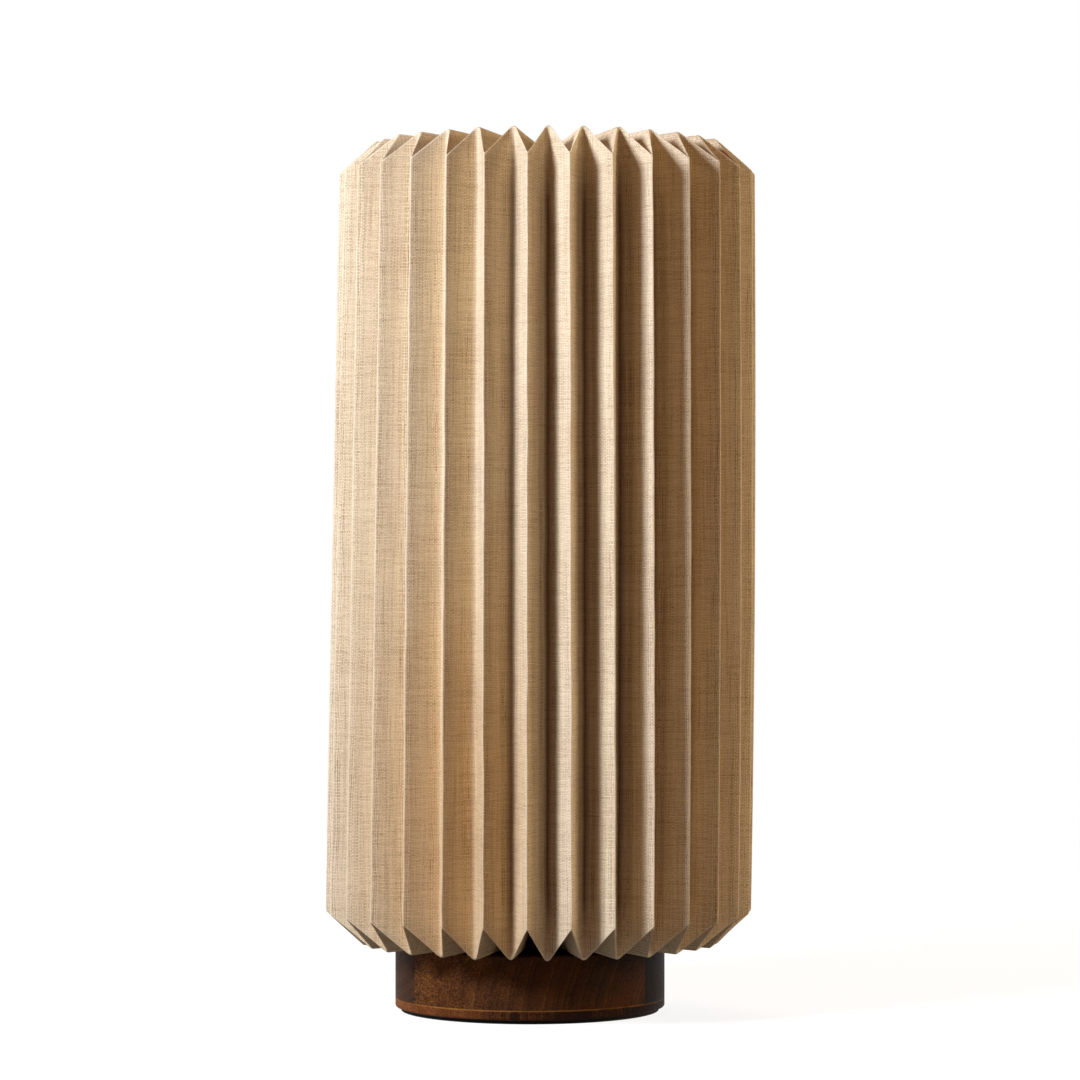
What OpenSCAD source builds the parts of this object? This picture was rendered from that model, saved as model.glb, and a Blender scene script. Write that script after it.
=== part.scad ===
// Table lamp: a pleated linen shade that stands on a low turned walnut base.
// Millimetres, +Z up. The origin is the centre of the underside and the front faces -Y.

/* [Base] */
// Radius of the turned base
base_r = 67.25; // [62:0.25:80]
// Height of the upper layer of the base
drum_h = 26.8; // [25:0.1:40]
// Thickness of the lower wooden layer
plate_t = 4.5; // [3.5:0.1:8]
// Rounding of the outer edges at the top and at the bottom
edge_round = 1; // [0.4:0.1:2]
// Width of each edge board, glued to the middle board of the upper layer
edge_board_w = 10.75; // [8:0.25:14]
// Thickness of the felt under the base
felt_t = 2; // [1:0.1:4]
// How far the felt stays in from the edge
felt_inset = 3; // [1:0.5:8]
// Radius of the hollow turned out of the upper layer from below
cavity_r = 50; // [46:0.5:52]
// Wood left above the hollow
roof_t = 7; // [5:0.5:9]
// Thickness of the steel ballast disc
ballast_t = 5; // [3:0.5:6]
// Radius of the spigot that the lower ring of the shade stands around
spigot_r = 28; // [20:0.5:30]
// Height of that spigot
spigot_h = 14; // [10:0.5:20]

/* [Base fixings] */
// Shank radius of the four screws that hold the lower layer
plate_screw_r = 1.75; // [1.5:0.05:2.25]
// Length of those screws
plate_screw_l = 16; // [12:0.5:20]
// Radius of the hole that the mains lead passes through in the gland
gland_bore_r = 3.3; // [2.5:0.1:4]
// Wall of the gland around that hole
gland_wall = 1.5; // [1:0.1:2]
// Radius of the flange on the gland
gland_flange_r = 6.6; // [6.2:0.1:7.5]
// Length of the terminal block from front to back
block_l = 20; // [16:0.5:26]
// Width of the terminal block
block_w = 18; // [16:0.5:24]

/* [Stem] */
// Outer radius of the threaded tube that ties the lamp together
tube_r = 4.9; // [4.7:0.05:5.5]
// Bore radius of that tube
tube_bore_r = 3.8; // [3.4:0.05:4]
// Length of the brass column between the base and the lampholder
column_l = 106; // [60:1:140]
// Outer radius of the column
column_r = 8; // [7.5:0.5:9]
// Wall of the column
column_wall = 1.5; // [1:0.1:2]
// Radius of the brass washer under the column
foot_washer_r = 14; // [11:0.5:19]

/* [Lampholder] */
// Outer radius of the lampholder
holder_r = 19.5; // [19:0.1:22]
// Height of the cap that closes the lampholder at the bottom
cap_h = 20; // [18:0.5:26]
// Wall of the skirt
skirt_wall = 1.85; // [1.5:0.05:2.2]
// Height of the insert that carries the contacts
insert_h = 12; // [11:0.5:15]
// Inner radius of the screw shell, for the 27 mm Edison thread
shell_r = 13.45; // [13.3:0.05:13.8]
// Height of the screw shell
shell_h = 22; // [20:0.5:23]

/* [Bulb] */
// Radius of the bulb's globe
globe_r = 30; // [26:0.5:31]
// Length of the bulb from its tip to the rim of the globe
bulb_rim_h = 66; // [58:0.5:76]
// Radius of the bulb's housing where the globe is seated
housing_rim_r = 28.5; // [24:0.1:28.8]
// Wall of the housing
housing_wall = 1.5; // [1:0.1:2]

/* [Shade] */
// Number of pleats
pleats = 32; // [24:1:40]
// Radius over the ridges at the upper fold
ridge_r_top = 103.5; // [98:0.5:115]
// Radius over the ridges at the lower fold
ridge_r_bottom = 106; // [98:0.5:115]
// Depth of the pleats at the upper fold
pleat_depth_top = 16.5; // [12:0.5:20]
// Depth of the pleats at the lower fold
pleat_depth_bottom = 17; // [12:0.5:20]
// Height from the lowest folds to the highest ones
shade_h = 398.9; // [330:0.1:450]
// How far the upper ends of the ridges lie below the top
fold_rise_top = 15.5; // [10:0.5:20]
// How far the lower ends of the ridges lie above the bottom
fold_rise_bottom = 15.9; // [10:0.1:20]
// How far the upper collar dips towards its hole
collar_dip = 3.5; // [0:0.5:8]
// Radius of the hole in the upper collar
top_hole_r = 36; // [30:1:50]
// Radius of the hole in the lower collar
bottom_hole_r = 42; // [40:1:55]
// Thickness of the stiffened linen
fabric_t = 0.6; // [0.4:0.05:0.8]
// Radius of the wire of the two rings
ring_wire_r = 1.5; // [1:0.1:2]

/* [How the shade stands] */
// How far the foot of the shade stands to the right of the base's axis
sit_x = 4.5; // [-5:0.5:5]
// How much further right its top stands, because it leans
lean_x = 4.5; // [-6:0.5:6]
// Twist of the pleats from top to bottom, in degrees
shade_twist = 3.9; // [-5:0.1:5]

/* [Hidden] */
$fn = 96;

// Colours as the photograph shows them, and plain ones for what it doesn't show
walnut = [0.31, 0.18, 0.10];
pale_walnut = [0.40, 0.25, 0.14];
linen = [0.80, 0.70, 0.55];
felt_black = [0.07, 0.06, 0.06];
steel = [0.62, 0.63, 0.65];
brass = [0.78, 0.62, 0.33];
brown_insulation = [0.45, 0.27, 0.14];
blue_insulation = [0.20, 0.38, 0.62];
board_green = [0.12, 0.36, 0.22];
board_white = [0.86, 0.87, 0.88];
phosphor = [0.93, 0.86, 0.45];
black_plastic = [0.09, 0.09, 0.09];
white_plastic = [0.90, 0.90, 0.88];
opal = [0.96, 0.95, 0.92];

// Clearances: threads and push fits, loose fits, and the soft shade to what it meets
thread_gap = 0.05;
loose_gap = 0.2;
soft_gap = 0.3;
// How far a cut runs past the face that it opens
over = 1;
// Width and depth of the driver slots and recesses in the screws
slot_w = 0.8;
slot_depth = 0.75;

// Heights in the base, from the floor up
plate_z = felt_t;
drum_z = plate_z + plate_t;
drum_top = drum_z + drum_h;
spigot_top = drum_top + spigot_h;
cavity_top = drum_top - roof_t;
seam_x = base_r - edge_board_w;
ballast_z = cavity_top - ballast_t;
ballast_gap = 2;
ballast_r = cavity_r - ballast_gap;
lower_washer_t = 1.2;
lower_washer_r = 10;
lower_washer_z = ballast_z - lower_washer_t;
nut_h = 4;
nut_flats = 14;
nut_z = lower_washer_z - nut_h;
tube_tail = 0.8;
tube_z = nut_z - tube_tail;

// Screws of the lower layer, halfway between the hollow and the edge
plate_screw_ring = (cavity_r + base_r) / 2;
plate_screw_head_r = 2 * plate_screw_r;
plate_screw_tip = 2;
plate_screw_point_r = 0.3;

// The gland lies along Y behind, its flange let into a flat seat
gland_r = gland_bore_r + gland_wall;
gland_flange_t = 1.6;
gland_seat_depth = 2.2;
gland_seat_y = base_r - gland_seat_depth;
gland_tail = 1;
gland_inner_y = cavity_r - gland_tail;
gland_land = 1;
gland_z = drum_z + gland_flange_r + loose_gap + gland_land;

// Terminal block, hung under the ballast disc
block_y = 13;
block_h = 11;
block_z = ballast_z - block_h;
pole_x = 4.5;
pole_inset = 4;
terminal_screw_r = 1.4;
block_screw_r = 1.2;
block_screw_head_r = 2.1;
block_screw_head_h = 1.4;
block_screw_grip = 4;

// Conductors from the block up the tube to the lampholder
wire_r = 1.1;
wire_x = 1.6;
wire_gap = 0.15;
wire_z = tube_z - 1;
wire_dip = 4.3;
wire_bend_y = 4;
wire_lift = 4;
wire_leave = 2;
wire_reach = 5;
wire_turn = 7;
wire_in_block = 6;
wire_in_insert = 7.5;
bend_steps = 8;
wire_sides = 8;

// Stem
foot_washer_t = 1.5;
column_z = spigot_top + foot_washer_t;
holder_z = column_z + column_l;
cap_neck_h = 6;
cap_neck_r = 9;
tube_head = 1;
tube_top = holder_z + cap_neck_h + tube_head;

// Lampholder
rim_h = 8;
cap_wall = 2;
skirt_bore_r = holder_r - skirt_wall;
rim_r = skirt_bore_r - thread_gap;
insert_z = holder_z + cap_h;
insert_r = skirt_bore_r - loose_gap;
insert_top = insert_z + insert_h;
terminal_x = 7;
terminal_bore_h = 8;
contact_pin_r = 1;
holder_screw_r = 1.5;
holder_screw_rise = 4;
holder_screw_sunk = 0.5;
holder_screw_z = insert_z + holder_screw_rise;
shell_wall = 0.5;
shell_flange_r = 11;
shell_flange_t = 0.6;
lip_t = 2.5;
lip_gap = 1.05;
lip_r = shell_r + lip_gap;
skirt_round = 0.8;
skirt_top = insert_top + shell_h + loose_gap + lip_t;
strip_t = 0.6;
strip_w = 5;
contact_rise = 3.3;
contact_foot = 1.6;
tongue_x = [-4, 3, 5];
tongue_lean = 0.2;

// Bulb, measured up from the tip of its contact
tip_gap = 0.1;
bulb_z = insert_top + contact_rise + tip_gap;
shell_gap = 0.5;
bulb_cap_r = shell_r - shell_gap;
bulb_cap_wall = 0.45;
bulb_cap_z = 5;
neck_rise = 2.6;
bulb_cap_top = skirt_top - bulb_z + neck_rise;
tip_r = 5;
tip_t = 1.1;
tip_stem_r = 1.9;
tip_stem_h = 4;
insulator_h = 8;
insulator_land = 0.3;
stub_h = 4;
stub_wall = 1.4;
housing_foot_r = 13.6;
housing_steps = 12;
globe_wall = 1.2;
globe_drop = sqrt(globe_r * globe_r - housing_rim_r * housing_rim_r);
led_board_t = 1.6;
led_board_drop = 4;
led_board_z = bulb_rim_h - led_board_drop;
led_board_gap = 0.6;
led_board_r = housing_rim_r - housing_wall - led_board_gap;
led_count = 8;
led_ring_r = 16;
led_w = 3;
led_t = 0.8;
driver_w = 17;
driver_t = 1.6;
driver_h = 28;

// Shade: the creases run in pairs, a valley at every even number and a ridge at every odd one
half_pitch = 180 / pleats;
valley_r_top = ridge_r_top - pleat_depth_top;
valley_r_bottom = ridge_r_bottom - pleat_depth_bottom;
panel_w = norm([ridge_r_top - valley_r_top * cos(half_pitch), valley_r_top * sin(half_pitch)]);
shade_z = drum_top + soft_gap;
shade_top = shade_z + shade_h;
top_ring_r = top_hole_r - soft_gap - ring_wire_r;
bottom_ring_r = bottom_hole_r - soft_gap - ring_wire_r;

// Height of a collar's folds at radius r, where each panel keeps its full width
function collar_h(r) = sqrt(panel_w * panel_w - pow(r * sin(half_pitch), 2));

// Where the axis of the leaning shade stands at height z
function shade_x(z) = sit_x + lean_x * (z - shade_z) / shade_h;

// Shift that keeps the linen's thickness between two folded faces at radius r
function fold_shift(r) = fabric_t * panel_w / (r * sin(half_pitch));

// The four points of a crease: upper hole, upper fold, lower fold and lower hole
top_spread = (collar_h(top_hole_r) - fold_rise_top) / 2;
valley_line = [
    [top_hole_r, shade_top - collar_dip + top_spread],
    [valley_r_top, shade_top],
    [valley_r_bottom, shade_z],
    [bottom_hole_r, shade_z]
];
ridge_line = [
    [top_hole_r, shade_top - fold_rise_top - collar_dip - top_spread],
    [ridge_r_top, shade_top - fold_rise_top],
    [ridge_r_bottom, shade_z + fold_rise_bottom],
    [bottom_hole_r, shade_z + collar_h(bottom_hole_r)]
];
top_ring_z = (valley_line[0][1] + ridge_line[0][1]) / 2;
bottom_ring_z = (valley_line[3][1] + ridge_line[3][1]) / 2;

function crease(i) = i % 2 == 0 ? valley_line : ridge_line;

function shade_point(i, k, r, z) =
    let (turn = i * half_pitch - 90 + (k < 2 ? 0 : shade_twist))
    [shade_x(z) + r * cos(turn), r * sin(turn), z];

function outer_point(i, k) = shade_point(i, k, crease(i)[k][0], crease(i)[k][1]);

function inner_point(i, k) =
    let (
        r = crease(i)[k][0],
        z = crease(i)[k][1],
        middle_r = (valley_line[k][0] + ridge_line[k][0]) / 2,
        inward = (k == 1 || k == 2) ? fold_shift(middle_r) : 0,
        sideways = k < 2 ? -fold_shift(r) : fold_shift(r)
    )
    shade_point(i, k, r - inward, z + sideways);

// Curves for the conductors
function bezier(a, b, c, d, t) =
    a * pow(1 - t, 3) + 3 * b * t * pow(1 - t, 2) + 3 * c * t * t * (1 - t) + d * pow(t, 3);

function wire_path(side) = concat(
    [[side * pole_x, block_y + wire_in_block, wire_z]],
    [for (i = [0 : bend_steps]) bezier(
        [side * pole_x, block_y - over, wire_z],
        [side * pole_x, wire_bend_y, wire_z - wire_dip],
        [side * wire_x, 0, wire_z - wire_dip],
        [side * wire_x, 0, tube_z + wire_lift],
        i / bend_steps
    )],
    [for (i = [0 : bend_steps]) bezier(
        [side * wire_x, 0, tube_top - wire_leave],
        [side * wire_x, 0, tube_top + wire_reach],
        [side * terminal_x, 0, insert_z - wire_turn],
        [side * terminal_x, 0, insert_z],
        i / bend_steps
    )],
    [[side * terminal_x, 0, insert_z + wire_in_insert]]
);

function wire_ring(path, i) =
    let (
        ahead = path[min(i + 1, len(path) - 1)] - path[max(i - 1, 0)],
        across = cross(ahead, [1, 0, 0]),
        u = across / norm(across),
        v = cross(ahead, u) / norm(ahead)
    )
    [for (s = [0 : wire_sides - 1]) path[i]
        + wire_r * (cos(360 * s / wire_sides) * u + sin(360 * s / wire_sides) * v)];

// Shared shapes
module pipe(outer_r, inner_r, h) {
    difference() {
        cylinder(r = outer_r, h = h);
        translate([0, 0, -over]) cylinder(r = inner_r, h = h + 2 * over);
    }
}

module rounded_side(r, h, round_r) {
    square([r - round_r, h]);
    square([r, h - round_r]);
    translate([r - round_r, h - round_r]) circle(r = round_r);
}

module slot(width, depth) {
    translate([-width, -slot_w / 2, -over]) cube([2 * width, slot_w, over + depth]);
}

module along_y(y, z) {
    translate([0, y, z]) rotate([-90, 0, 0]) children();
}

module at_plate_screws() {
    for (turn = [45 : 90 : 315]) rotate([0, 0, turn]) translate([plate_screw_ring, 0, plate_z]) children();
}

// Base
module felt_pad() {
    color(felt_black) cylinder(r = base_r - felt_inset, h = felt_t);
}

module base_plate() {
    head_h = plate_screw_head_r - plate_screw_r;
    color(pale_walnut) difference() {
        translate([0, 0, drum_z]) mirror([0, 0, 1])
            rotate_extrude() rounded_side(base_r, plate_t, edge_round);
        at_plate_screws() {
            translate([0, 0, -over]) cylinder(r = plate_screw_head_r + loose_gap, h = over);
            cylinder(r1 = plate_screw_head_r + loose_gap, r2 = plate_screw_r + loose_gap, h = head_h);
            cylinder(r = plate_screw_r + loose_gap, h = plate_t + over);
        }
    }
}

module plate_screws() {
    head_h = plate_screw_head_r - plate_screw_r;
    color(steel) at_plate_screws() difference() {
        union() {
            cylinder(r1 = plate_screw_head_r, r2 = plate_screw_r, h = head_h);
            cylinder(r = plate_screw_r, h = plate_screw_l - plate_screw_tip);
            translate([0, 0, plate_screw_l - plate_screw_tip])
                cylinder(r1 = plate_screw_r, r2 = plate_screw_point_r, h = plate_screw_tip);
        }
        for (turn = [0, 90]) rotate([0, 0, turn]) slot(plate_screw_r, slot_depth);
    }
}

module drum() {
    difference() {
        union() {
            translate([0, 0, drum_z]) rotate_extrude() rounded_side(base_r, drum_h, edge_round);
            translate([0, 0, drum_top - over])
                rotate_extrude() rounded_side(spigot_r, spigot_h + over, edge_round);
        }
        translate([0, 0, drum_z - over]) cylinder(r = cavity_r, h = cavity_top - drum_z + over);
        translate([0, 0, drum_z]) cylinder(r = tube_r + loose_gap, h = drum_h + spigot_h + over);
        along_y(cavity_r - 2, gland_z) cylinder(r = gland_r + thread_gap, h = base_r - cavity_r + 2);
        along_y(gland_seat_y, gland_z) cylinder(r = gland_flange_r + loose_gap, h = base_r);
        at_plate_screws() cylinder(r = plate_screw_r + thread_gap, h = plate_screw_l + over);
    }
}

// The part of the drum between two upright cuts, as one of its glued boards
module board(from_x, to_x) {
    intersection() {
        drum();
        translate([from_x, -base_r - over, 0]) cube([to_x - from_x, 2 * (base_r + over), spigot_top + over]);
    }
}

module middle_board() {
    color(walnut) board(-seam_x, seam_x);
}

module left_edge_board() {
    color(walnut) board(-base_r - over, -seam_x);
}

module right_edge_board() {
    color(walnut) board(seam_x, base_r + over);
}

module ballast_disc() {
    color(steel) difference() {
        translate([0, 0, ballast_z]) cylinder(r = ballast_r, h = ballast_t);
        translate([0, 0, ballast_z - over]) cylinder(r = tube_r + loose_gap, h = ballast_t + 2 * over);
        translate([0, block_y + block_l / 2, ballast_z - over])
            cylinder(r = block_screw_r + thread_gap, h = ballast_t + 2 * over);
    }
}

module cord_gland() {
    length = gland_seat_y + gland_flange_t - gland_inner_y;
    color(black_plastic) along_y(gland_inner_y, gland_z) difference() {
        union() {
            cylinder(r = gland_r, h = length);
            translate([0, 0, length - gland_flange_t]) cylinder(r = gland_flange_r, h = gland_flange_t);
        }
        translate([0, 0, -over]) cylinder(r = gland_bore_r, h = length + 2 * over);
    }
}

module at_terminals() {
    for (side = [-1, 1]) for (y = [block_y + pole_inset, block_y + block_l - pole_inset])
        translate([side * pole_x, y, block_z]) children();
}

module terminal_block() {
    color(white_plastic) difference() {
        translate([-block_w / 2, block_y, block_z]) cube([block_w, block_l, block_h]);
        for (side = [-1, 1]) translate([side * pole_x, 0, 0])
            along_y(block_y - over, wire_z) cylinder(r = wire_r + wire_gap, h = block_l + 2 * over);
        at_terminals() translate([0, 0, -over])
            cylinder(r = terminal_screw_r + thread_gap, h = wire_z - block_z + over);
        translate([0, block_y + block_l / 2, block_z - over]) {
            cylinder(r = block_screw_r + loose_gap, h = block_h + 2 * over);
            cylinder(r = block_screw_head_r + loose_gap, h = block_screw_head_h + over);
        }
    }
}

module terminal_screws() {
    color(steel) at_terminals() difference() {
        cylinder(r = terminal_screw_r, h = wire_z - block_z - wire_r - thread_gap);
        slot(terminal_screw_r, slot_depth);
    }
}

module block_screw() {
    color(steel) translate([0, block_y + block_l / 2, block_z]) difference() {
        union() {
            cylinder(r = block_screw_head_r, h = block_screw_head_h);
            cylinder(r = block_screw_r, h = block_h + min(block_screw_grip, ballast_t));
        }
        slot(block_screw_head_r, slot_depth);
    }
}

// A round conductor swept along its path
module conductor(side) {
    path = wire_path(side);
    last = len(path) - 1;
    n = wire_sides;
    points = [for (i = [0 : last]) each wire_ring(path, i)];
    skin = [for (i = [0 : last - 1]) for (s = [0 : n - 1])
        let (a = i * n + s, b = i * n + (s + 1) % n)
        each [[a, b, b + n], [a, b + n, a + n]]];
    first_end = [for (s = [1 : n - 2]) [0, s + 1, s]];
    last_end = [for (s = [1 : n - 2]) [last * n, last * n + s, last * n + s + 1]];
    polyhedron(points = points, faces = concat(skin, first_end, last_end));
}

module live_wire() {
    color(brown_insulation) conductor(-1);
}

module neutral_wire() {
    color(blue_insulation) conductor(1);
}

// Stem
module lower_washer() {
    color(steel) translate([0, 0, lower_washer_z])
        pipe(lower_washer_r, tube_r + loose_gap, lower_washer_t);
}

module lower_nut() {
    color(brass) translate([0, 0, nut_z]) difference() {
        cylinder(r = nut_flats / 2 / cos(30), h = nut_h, $fn = 6);
        translate([0, 0, -over]) cylinder(r = tube_r + thread_gap, h = nut_h + 2 * over);
    }
}

module threaded_tube() {
    color(steel) translate([0, 0, tube_z]) pipe(tube_r, tube_bore_r, tube_top - tube_z);
}

module foot_washer() {
    color(brass) translate([0, 0, spigot_top]) pipe(foot_washer_r, tube_r + loose_gap, foot_washer_t);
}

module column() {
    color(brass) translate([0, 0, column_z]) pipe(column_r, column_r - column_wall, column_l);
}

// Lampholder
module holder_cap() {
    shoulder_h = cap_h - rim_h;
    color(black_plastic) translate([0, 0, holder_z]) rotate_extrude() polygon(concat(
        [[tube_r + thread_gap, 0]],
        [for (a = [0 : 10 : 90])
            [cap_neck_r + (holder_r - cap_neck_r) * sin(a), shoulder_h * (1 - cos(a))]],
        [[rim_r, shoulder_h], [rim_r, cap_h], [rim_r - cap_wall, cap_h]],
        [for (a = [90 : -10 : 0])
            [cap_neck_r + (rim_r - cap_wall - cap_neck_r) * sin(a),
             cap_neck_h + (shoulder_h - cap_neck_h) * (1 - cos(a))]],
        [[tube_r + thread_gap, cap_neck_h]]
    ));
}

module holder_insert() {
    color(white_plastic) difference() {
        translate([0, 0, insert_z]) cylinder(r = insert_r, h = insert_h);
        for (side = [-1, 1]) {
            translate([side * terminal_x, 0, insert_z - over])
                cylinder(r = wire_r + wire_gap, h = terminal_bore_h + over);
            translate([side * terminal_x, 0, insert_z])
                cylinder(r = contact_pin_r + thread_gap, h = insert_h + over);
            translate([side * terminal_x, 0, holder_screw_z]) rotate([0, side * 90, 0])
                cylinder(r = holder_screw_r + thread_gap, h = insert_r);
        }
    }
}

module holder_screws() {
    head_x = insert_r - holder_screw_sunk;
    length = head_x - terminal_x - wire_r - thread_gap;
    color(brass) for (side = [-1, 1])
        translate([side * head_x, 0, holder_screw_z]) rotate([0, -side * 90, 0]) difference() {
            cylinder(r = holder_screw_r, h = length);
            slot(holder_screw_r, slot_depth);
        }
}

module holder_skirt() {
    foot_z = insert_z - rim_h;
    color(black_plastic) difference() {
        translate([0, 0, foot_z]) rotate_extrude() rounded_side(holder_r, skirt_top - foot_z, skirt_round);
        translate([0, 0, foot_z - over]) cylinder(r = skirt_bore_r, h = skirt_top - lip_t - foot_z + over);
        translate([0, 0, foot_z]) cylinder(r = lip_r, h = skirt_top - foot_z + over);
    }
}

module screw_shell() {
    color(brass) translate([0, 0, insert_top]) {
        difference() {
            cylinder(r = shell_r + shell_wall, h = shell_h);
            translate([0, 0, shell_flange_t]) cylinder(r = shell_r, h = shell_h);
            translate([0, 0, -over]) cylinder(r = shell_flange_r, h = shell_h);
        }
    }
}

module contact_pin(x) {
    pin_h = insert_h - terminal_bore_h;
    translate([x, 0, insert_top - pin_h]) cylinder(r = contact_pin_r, h = pin_h + strip_t);
}

module centre_contact() {
    back_x = -terminal_x - contact_foot;
    color(brass) union() {
        contact_pin(-terminal_x);
        translate([0, strip_w / 2, insert_top]) rotate([90, 0, 0]) linear_extrude(strip_w) polygon([
            [back_x, 0],
            [tongue_x[0], 0],
            [tongue_x[1], contact_rise - strip_t],
            [tongue_x[2], contact_rise - strip_t],
            [tongue_x[2], contact_rise],
            [tongue_x[1] - tongue_lean, contact_rise],
            [tongue_x[0] - tongue_lean, strip_t],
            [back_x, strip_t]
        ]);
    }
}

module side_contact() {
    reach = sqrt(pow(shell_flange_r - loose_gap / 2, 2) - pow(strip_w / 2, 2));
    color(brass) union() {
        contact_pin(terminal_x);
        translate([terminal_x - contact_foot, -strip_w / 2, insert_top])
            cube([reach - terminal_x + contact_foot, strip_w, strip_t]);
    }
}

// Bulb
module bulb_contact() {
    color(brass) translate([0, 0, bulb_z]) union() {
        cylinder(r = tip_r, h = tip_t);
        cylinder(r = tip_stem_r, h = tip_stem_h);
    }
}

module bulb_insulator() {
    foot_z = tip_t + tip_gap;
    bore_r = tip_stem_r + tip_gap;
    outer_r = bulb_cap_r - bulb_cap_wall - thread_gap;
    color(black_plastic) translate([0, 0, bulb_z]) rotate_extrude() polygon([
        [bore_r, foot_z],
        [tip_r + insulator_land, foot_z],
        [outer_r, bulb_cap_z],
        [outer_r, insulator_h],
        [bore_r, insulator_h]
    ]);
}

module bulb_cap() {
    color(steel) translate([0, 0, bulb_z + bulb_cap_z])
        pipe(bulb_cap_r, bulb_cap_r - bulb_cap_wall, bulb_cap_top - bulb_cap_z);
}

// Radius of the housing at a share t of its height
function housing_r(t) = housing_foot_r + (housing_rim_r - housing_foot_r) * (1 - cos(180 * t)) / 2;

module bulb_housing() {
    height = bulb_rim_h - bulb_cap_top;
    stub_r = bulb_cap_r - bulb_cap_wall - thread_gap;
    color(white_plastic) translate([0, 0, bulb_z + bulb_cap_top]) rotate_extrude() polygon(concat(
        [[stub_r, -stub_h], [stub_r, 0]],
        [for (i = [0 : housing_steps]) [housing_r(i / housing_steps), height * i / housing_steps]],
        [for (i = [housing_steps : -1 : 0])
            [housing_r(i / housing_steps) - housing_wall, height * i / housing_steps]],
        [[stub_r - stub_wall, 0], [stub_r - stub_wall, -stub_h]]
    ));
}

module driver_board() {
    color(board_green) translate([-driver_w / 2, -driver_t / 2, bulb_z + led_board_z - driver_h])
        cube([driver_w, driver_t, driver_h]);
}

module led_board() {
    color(board_white) translate([0, 0, bulb_z + led_board_z]) cylinder(r = led_board_r, h = led_board_t);
}

module led_chips() {
    color(phosphor) for (i = [0 : led_count - 1]) rotate([0, 0, 360 * i / led_count])
        translate([led_ring_r - led_w / 2, -led_w / 2, bulb_z + led_board_z + led_board_t])
            cube([led_w, led_w, led_t]);
}

module bulb_globe() {
    color(opal) translate([0, 0, bulb_z + bulb_rim_h + globe_drop]) rotate_extrude() intersection() {
        difference() {
            circle(r = globe_r);
            circle(r = globe_r - globe_wall);
        }
        translate([0, -globe_drop]) square([globe_r + over, globe_r + globe_drop + over]);
    }
}

// Shade
module wire_hoop(r, z) {
    translate([shade_x(z), 0, z]) rotate_extrude() translate([r, 0]) circle(r = ring_wire_r);
}

module bottom_ring() {
    color(brass) wire_hoop(bottom_ring_r, bottom_ring_z);
}

module top_ring() {
    color(brass) wire_hoop(top_ring_r, top_ring_z);
}

// The linen: an outer and an inner skin over the same creases, joined around both holes
module shade_fabric() {
    creases = 2 * pleats;
    points = concat(
        [for (i = [0 : creases - 1]) for (k = [0 : 3]) outer_point(i, k)],
        [for (i = [0 : creases - 1]) for (k = [0 : 3]) inner_point(i, k)]
    );
    inner = 4 * creases;
    outer_skin = [for (i = [0 : creases - 1]) for (k = [0 : 2])
        let (a = 4 * i + k, b = 4 * ((i + 1) % creases) + k)
        each [[a, a + 1, b + 1], [a, b + 1, b]]];
    inner_skin = [for (f = outer_skin) [f[0] + inner, f[2] + inner, f[1] + inner]];
    edges = [for (i = [0 : creases - 1])
        let (a = 4 * i, b = 4 * ((i + 1) % creases), c = a + 3, d = b + 3)
        each [[a, b, b + inner], [a, b + inner, a + inner],
              [c, d + inner, d], [c, c + inner, d + inner]]];
    color(linen) polyhedron(points = points, faces = concat(outer_skin, inner_skin, edges));
}

felt_pad();
base_plate();
plate_screws();
middle_board();
left_edge_board();
right_edge_board();
ballast_disc();
cord_gland();
terminal_block();
terminal_screws();
block_screw();
live_wire();
neutral_wire();
lower_washer();
lower_nut();
threaded_tube();
foot_washer();
column();
holder_cap();
holder_insert();
holder_skirt();
holder_screws();
screw_shell();
centre_contact();
side_contact();
bulb_contact();
bulb_insulator();
bulb_cap();
bulb_housing();
driver_board();
led_board();
led_chips();
bulb_globe();
bottom_ring();
top_ring();
shade_fabric();
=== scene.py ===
import math

import bpy
import numpy as np
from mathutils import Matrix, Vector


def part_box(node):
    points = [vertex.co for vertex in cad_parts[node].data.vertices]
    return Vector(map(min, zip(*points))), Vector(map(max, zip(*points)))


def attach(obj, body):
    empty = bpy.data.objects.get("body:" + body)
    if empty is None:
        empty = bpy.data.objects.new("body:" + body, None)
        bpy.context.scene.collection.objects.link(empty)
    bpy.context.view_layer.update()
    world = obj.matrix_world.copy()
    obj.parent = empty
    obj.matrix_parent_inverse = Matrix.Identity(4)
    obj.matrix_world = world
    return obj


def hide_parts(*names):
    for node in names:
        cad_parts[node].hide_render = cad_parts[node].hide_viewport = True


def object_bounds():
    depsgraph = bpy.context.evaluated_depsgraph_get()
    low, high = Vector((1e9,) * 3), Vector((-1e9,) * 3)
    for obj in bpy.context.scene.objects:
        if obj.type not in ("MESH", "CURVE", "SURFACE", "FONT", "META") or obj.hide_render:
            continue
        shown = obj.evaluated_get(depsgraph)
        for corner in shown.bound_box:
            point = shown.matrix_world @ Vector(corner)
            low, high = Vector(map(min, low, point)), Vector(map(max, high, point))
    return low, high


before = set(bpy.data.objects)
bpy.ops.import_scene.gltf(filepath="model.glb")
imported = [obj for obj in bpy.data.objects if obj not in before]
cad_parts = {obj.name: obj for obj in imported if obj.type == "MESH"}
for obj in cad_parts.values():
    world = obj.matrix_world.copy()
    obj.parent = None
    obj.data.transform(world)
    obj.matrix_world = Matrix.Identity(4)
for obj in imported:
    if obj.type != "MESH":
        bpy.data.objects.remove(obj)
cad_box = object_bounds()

MM = 0.001
CAMERA_DISTANCE = 1.935
CAMERA_X = 0.005
EYE_HEIGHT = 0.224
LENS = 129.0
SENSOR_WIDTH = 36
FRAME_PX = 1080
HORIZON_PX = 561
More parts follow.
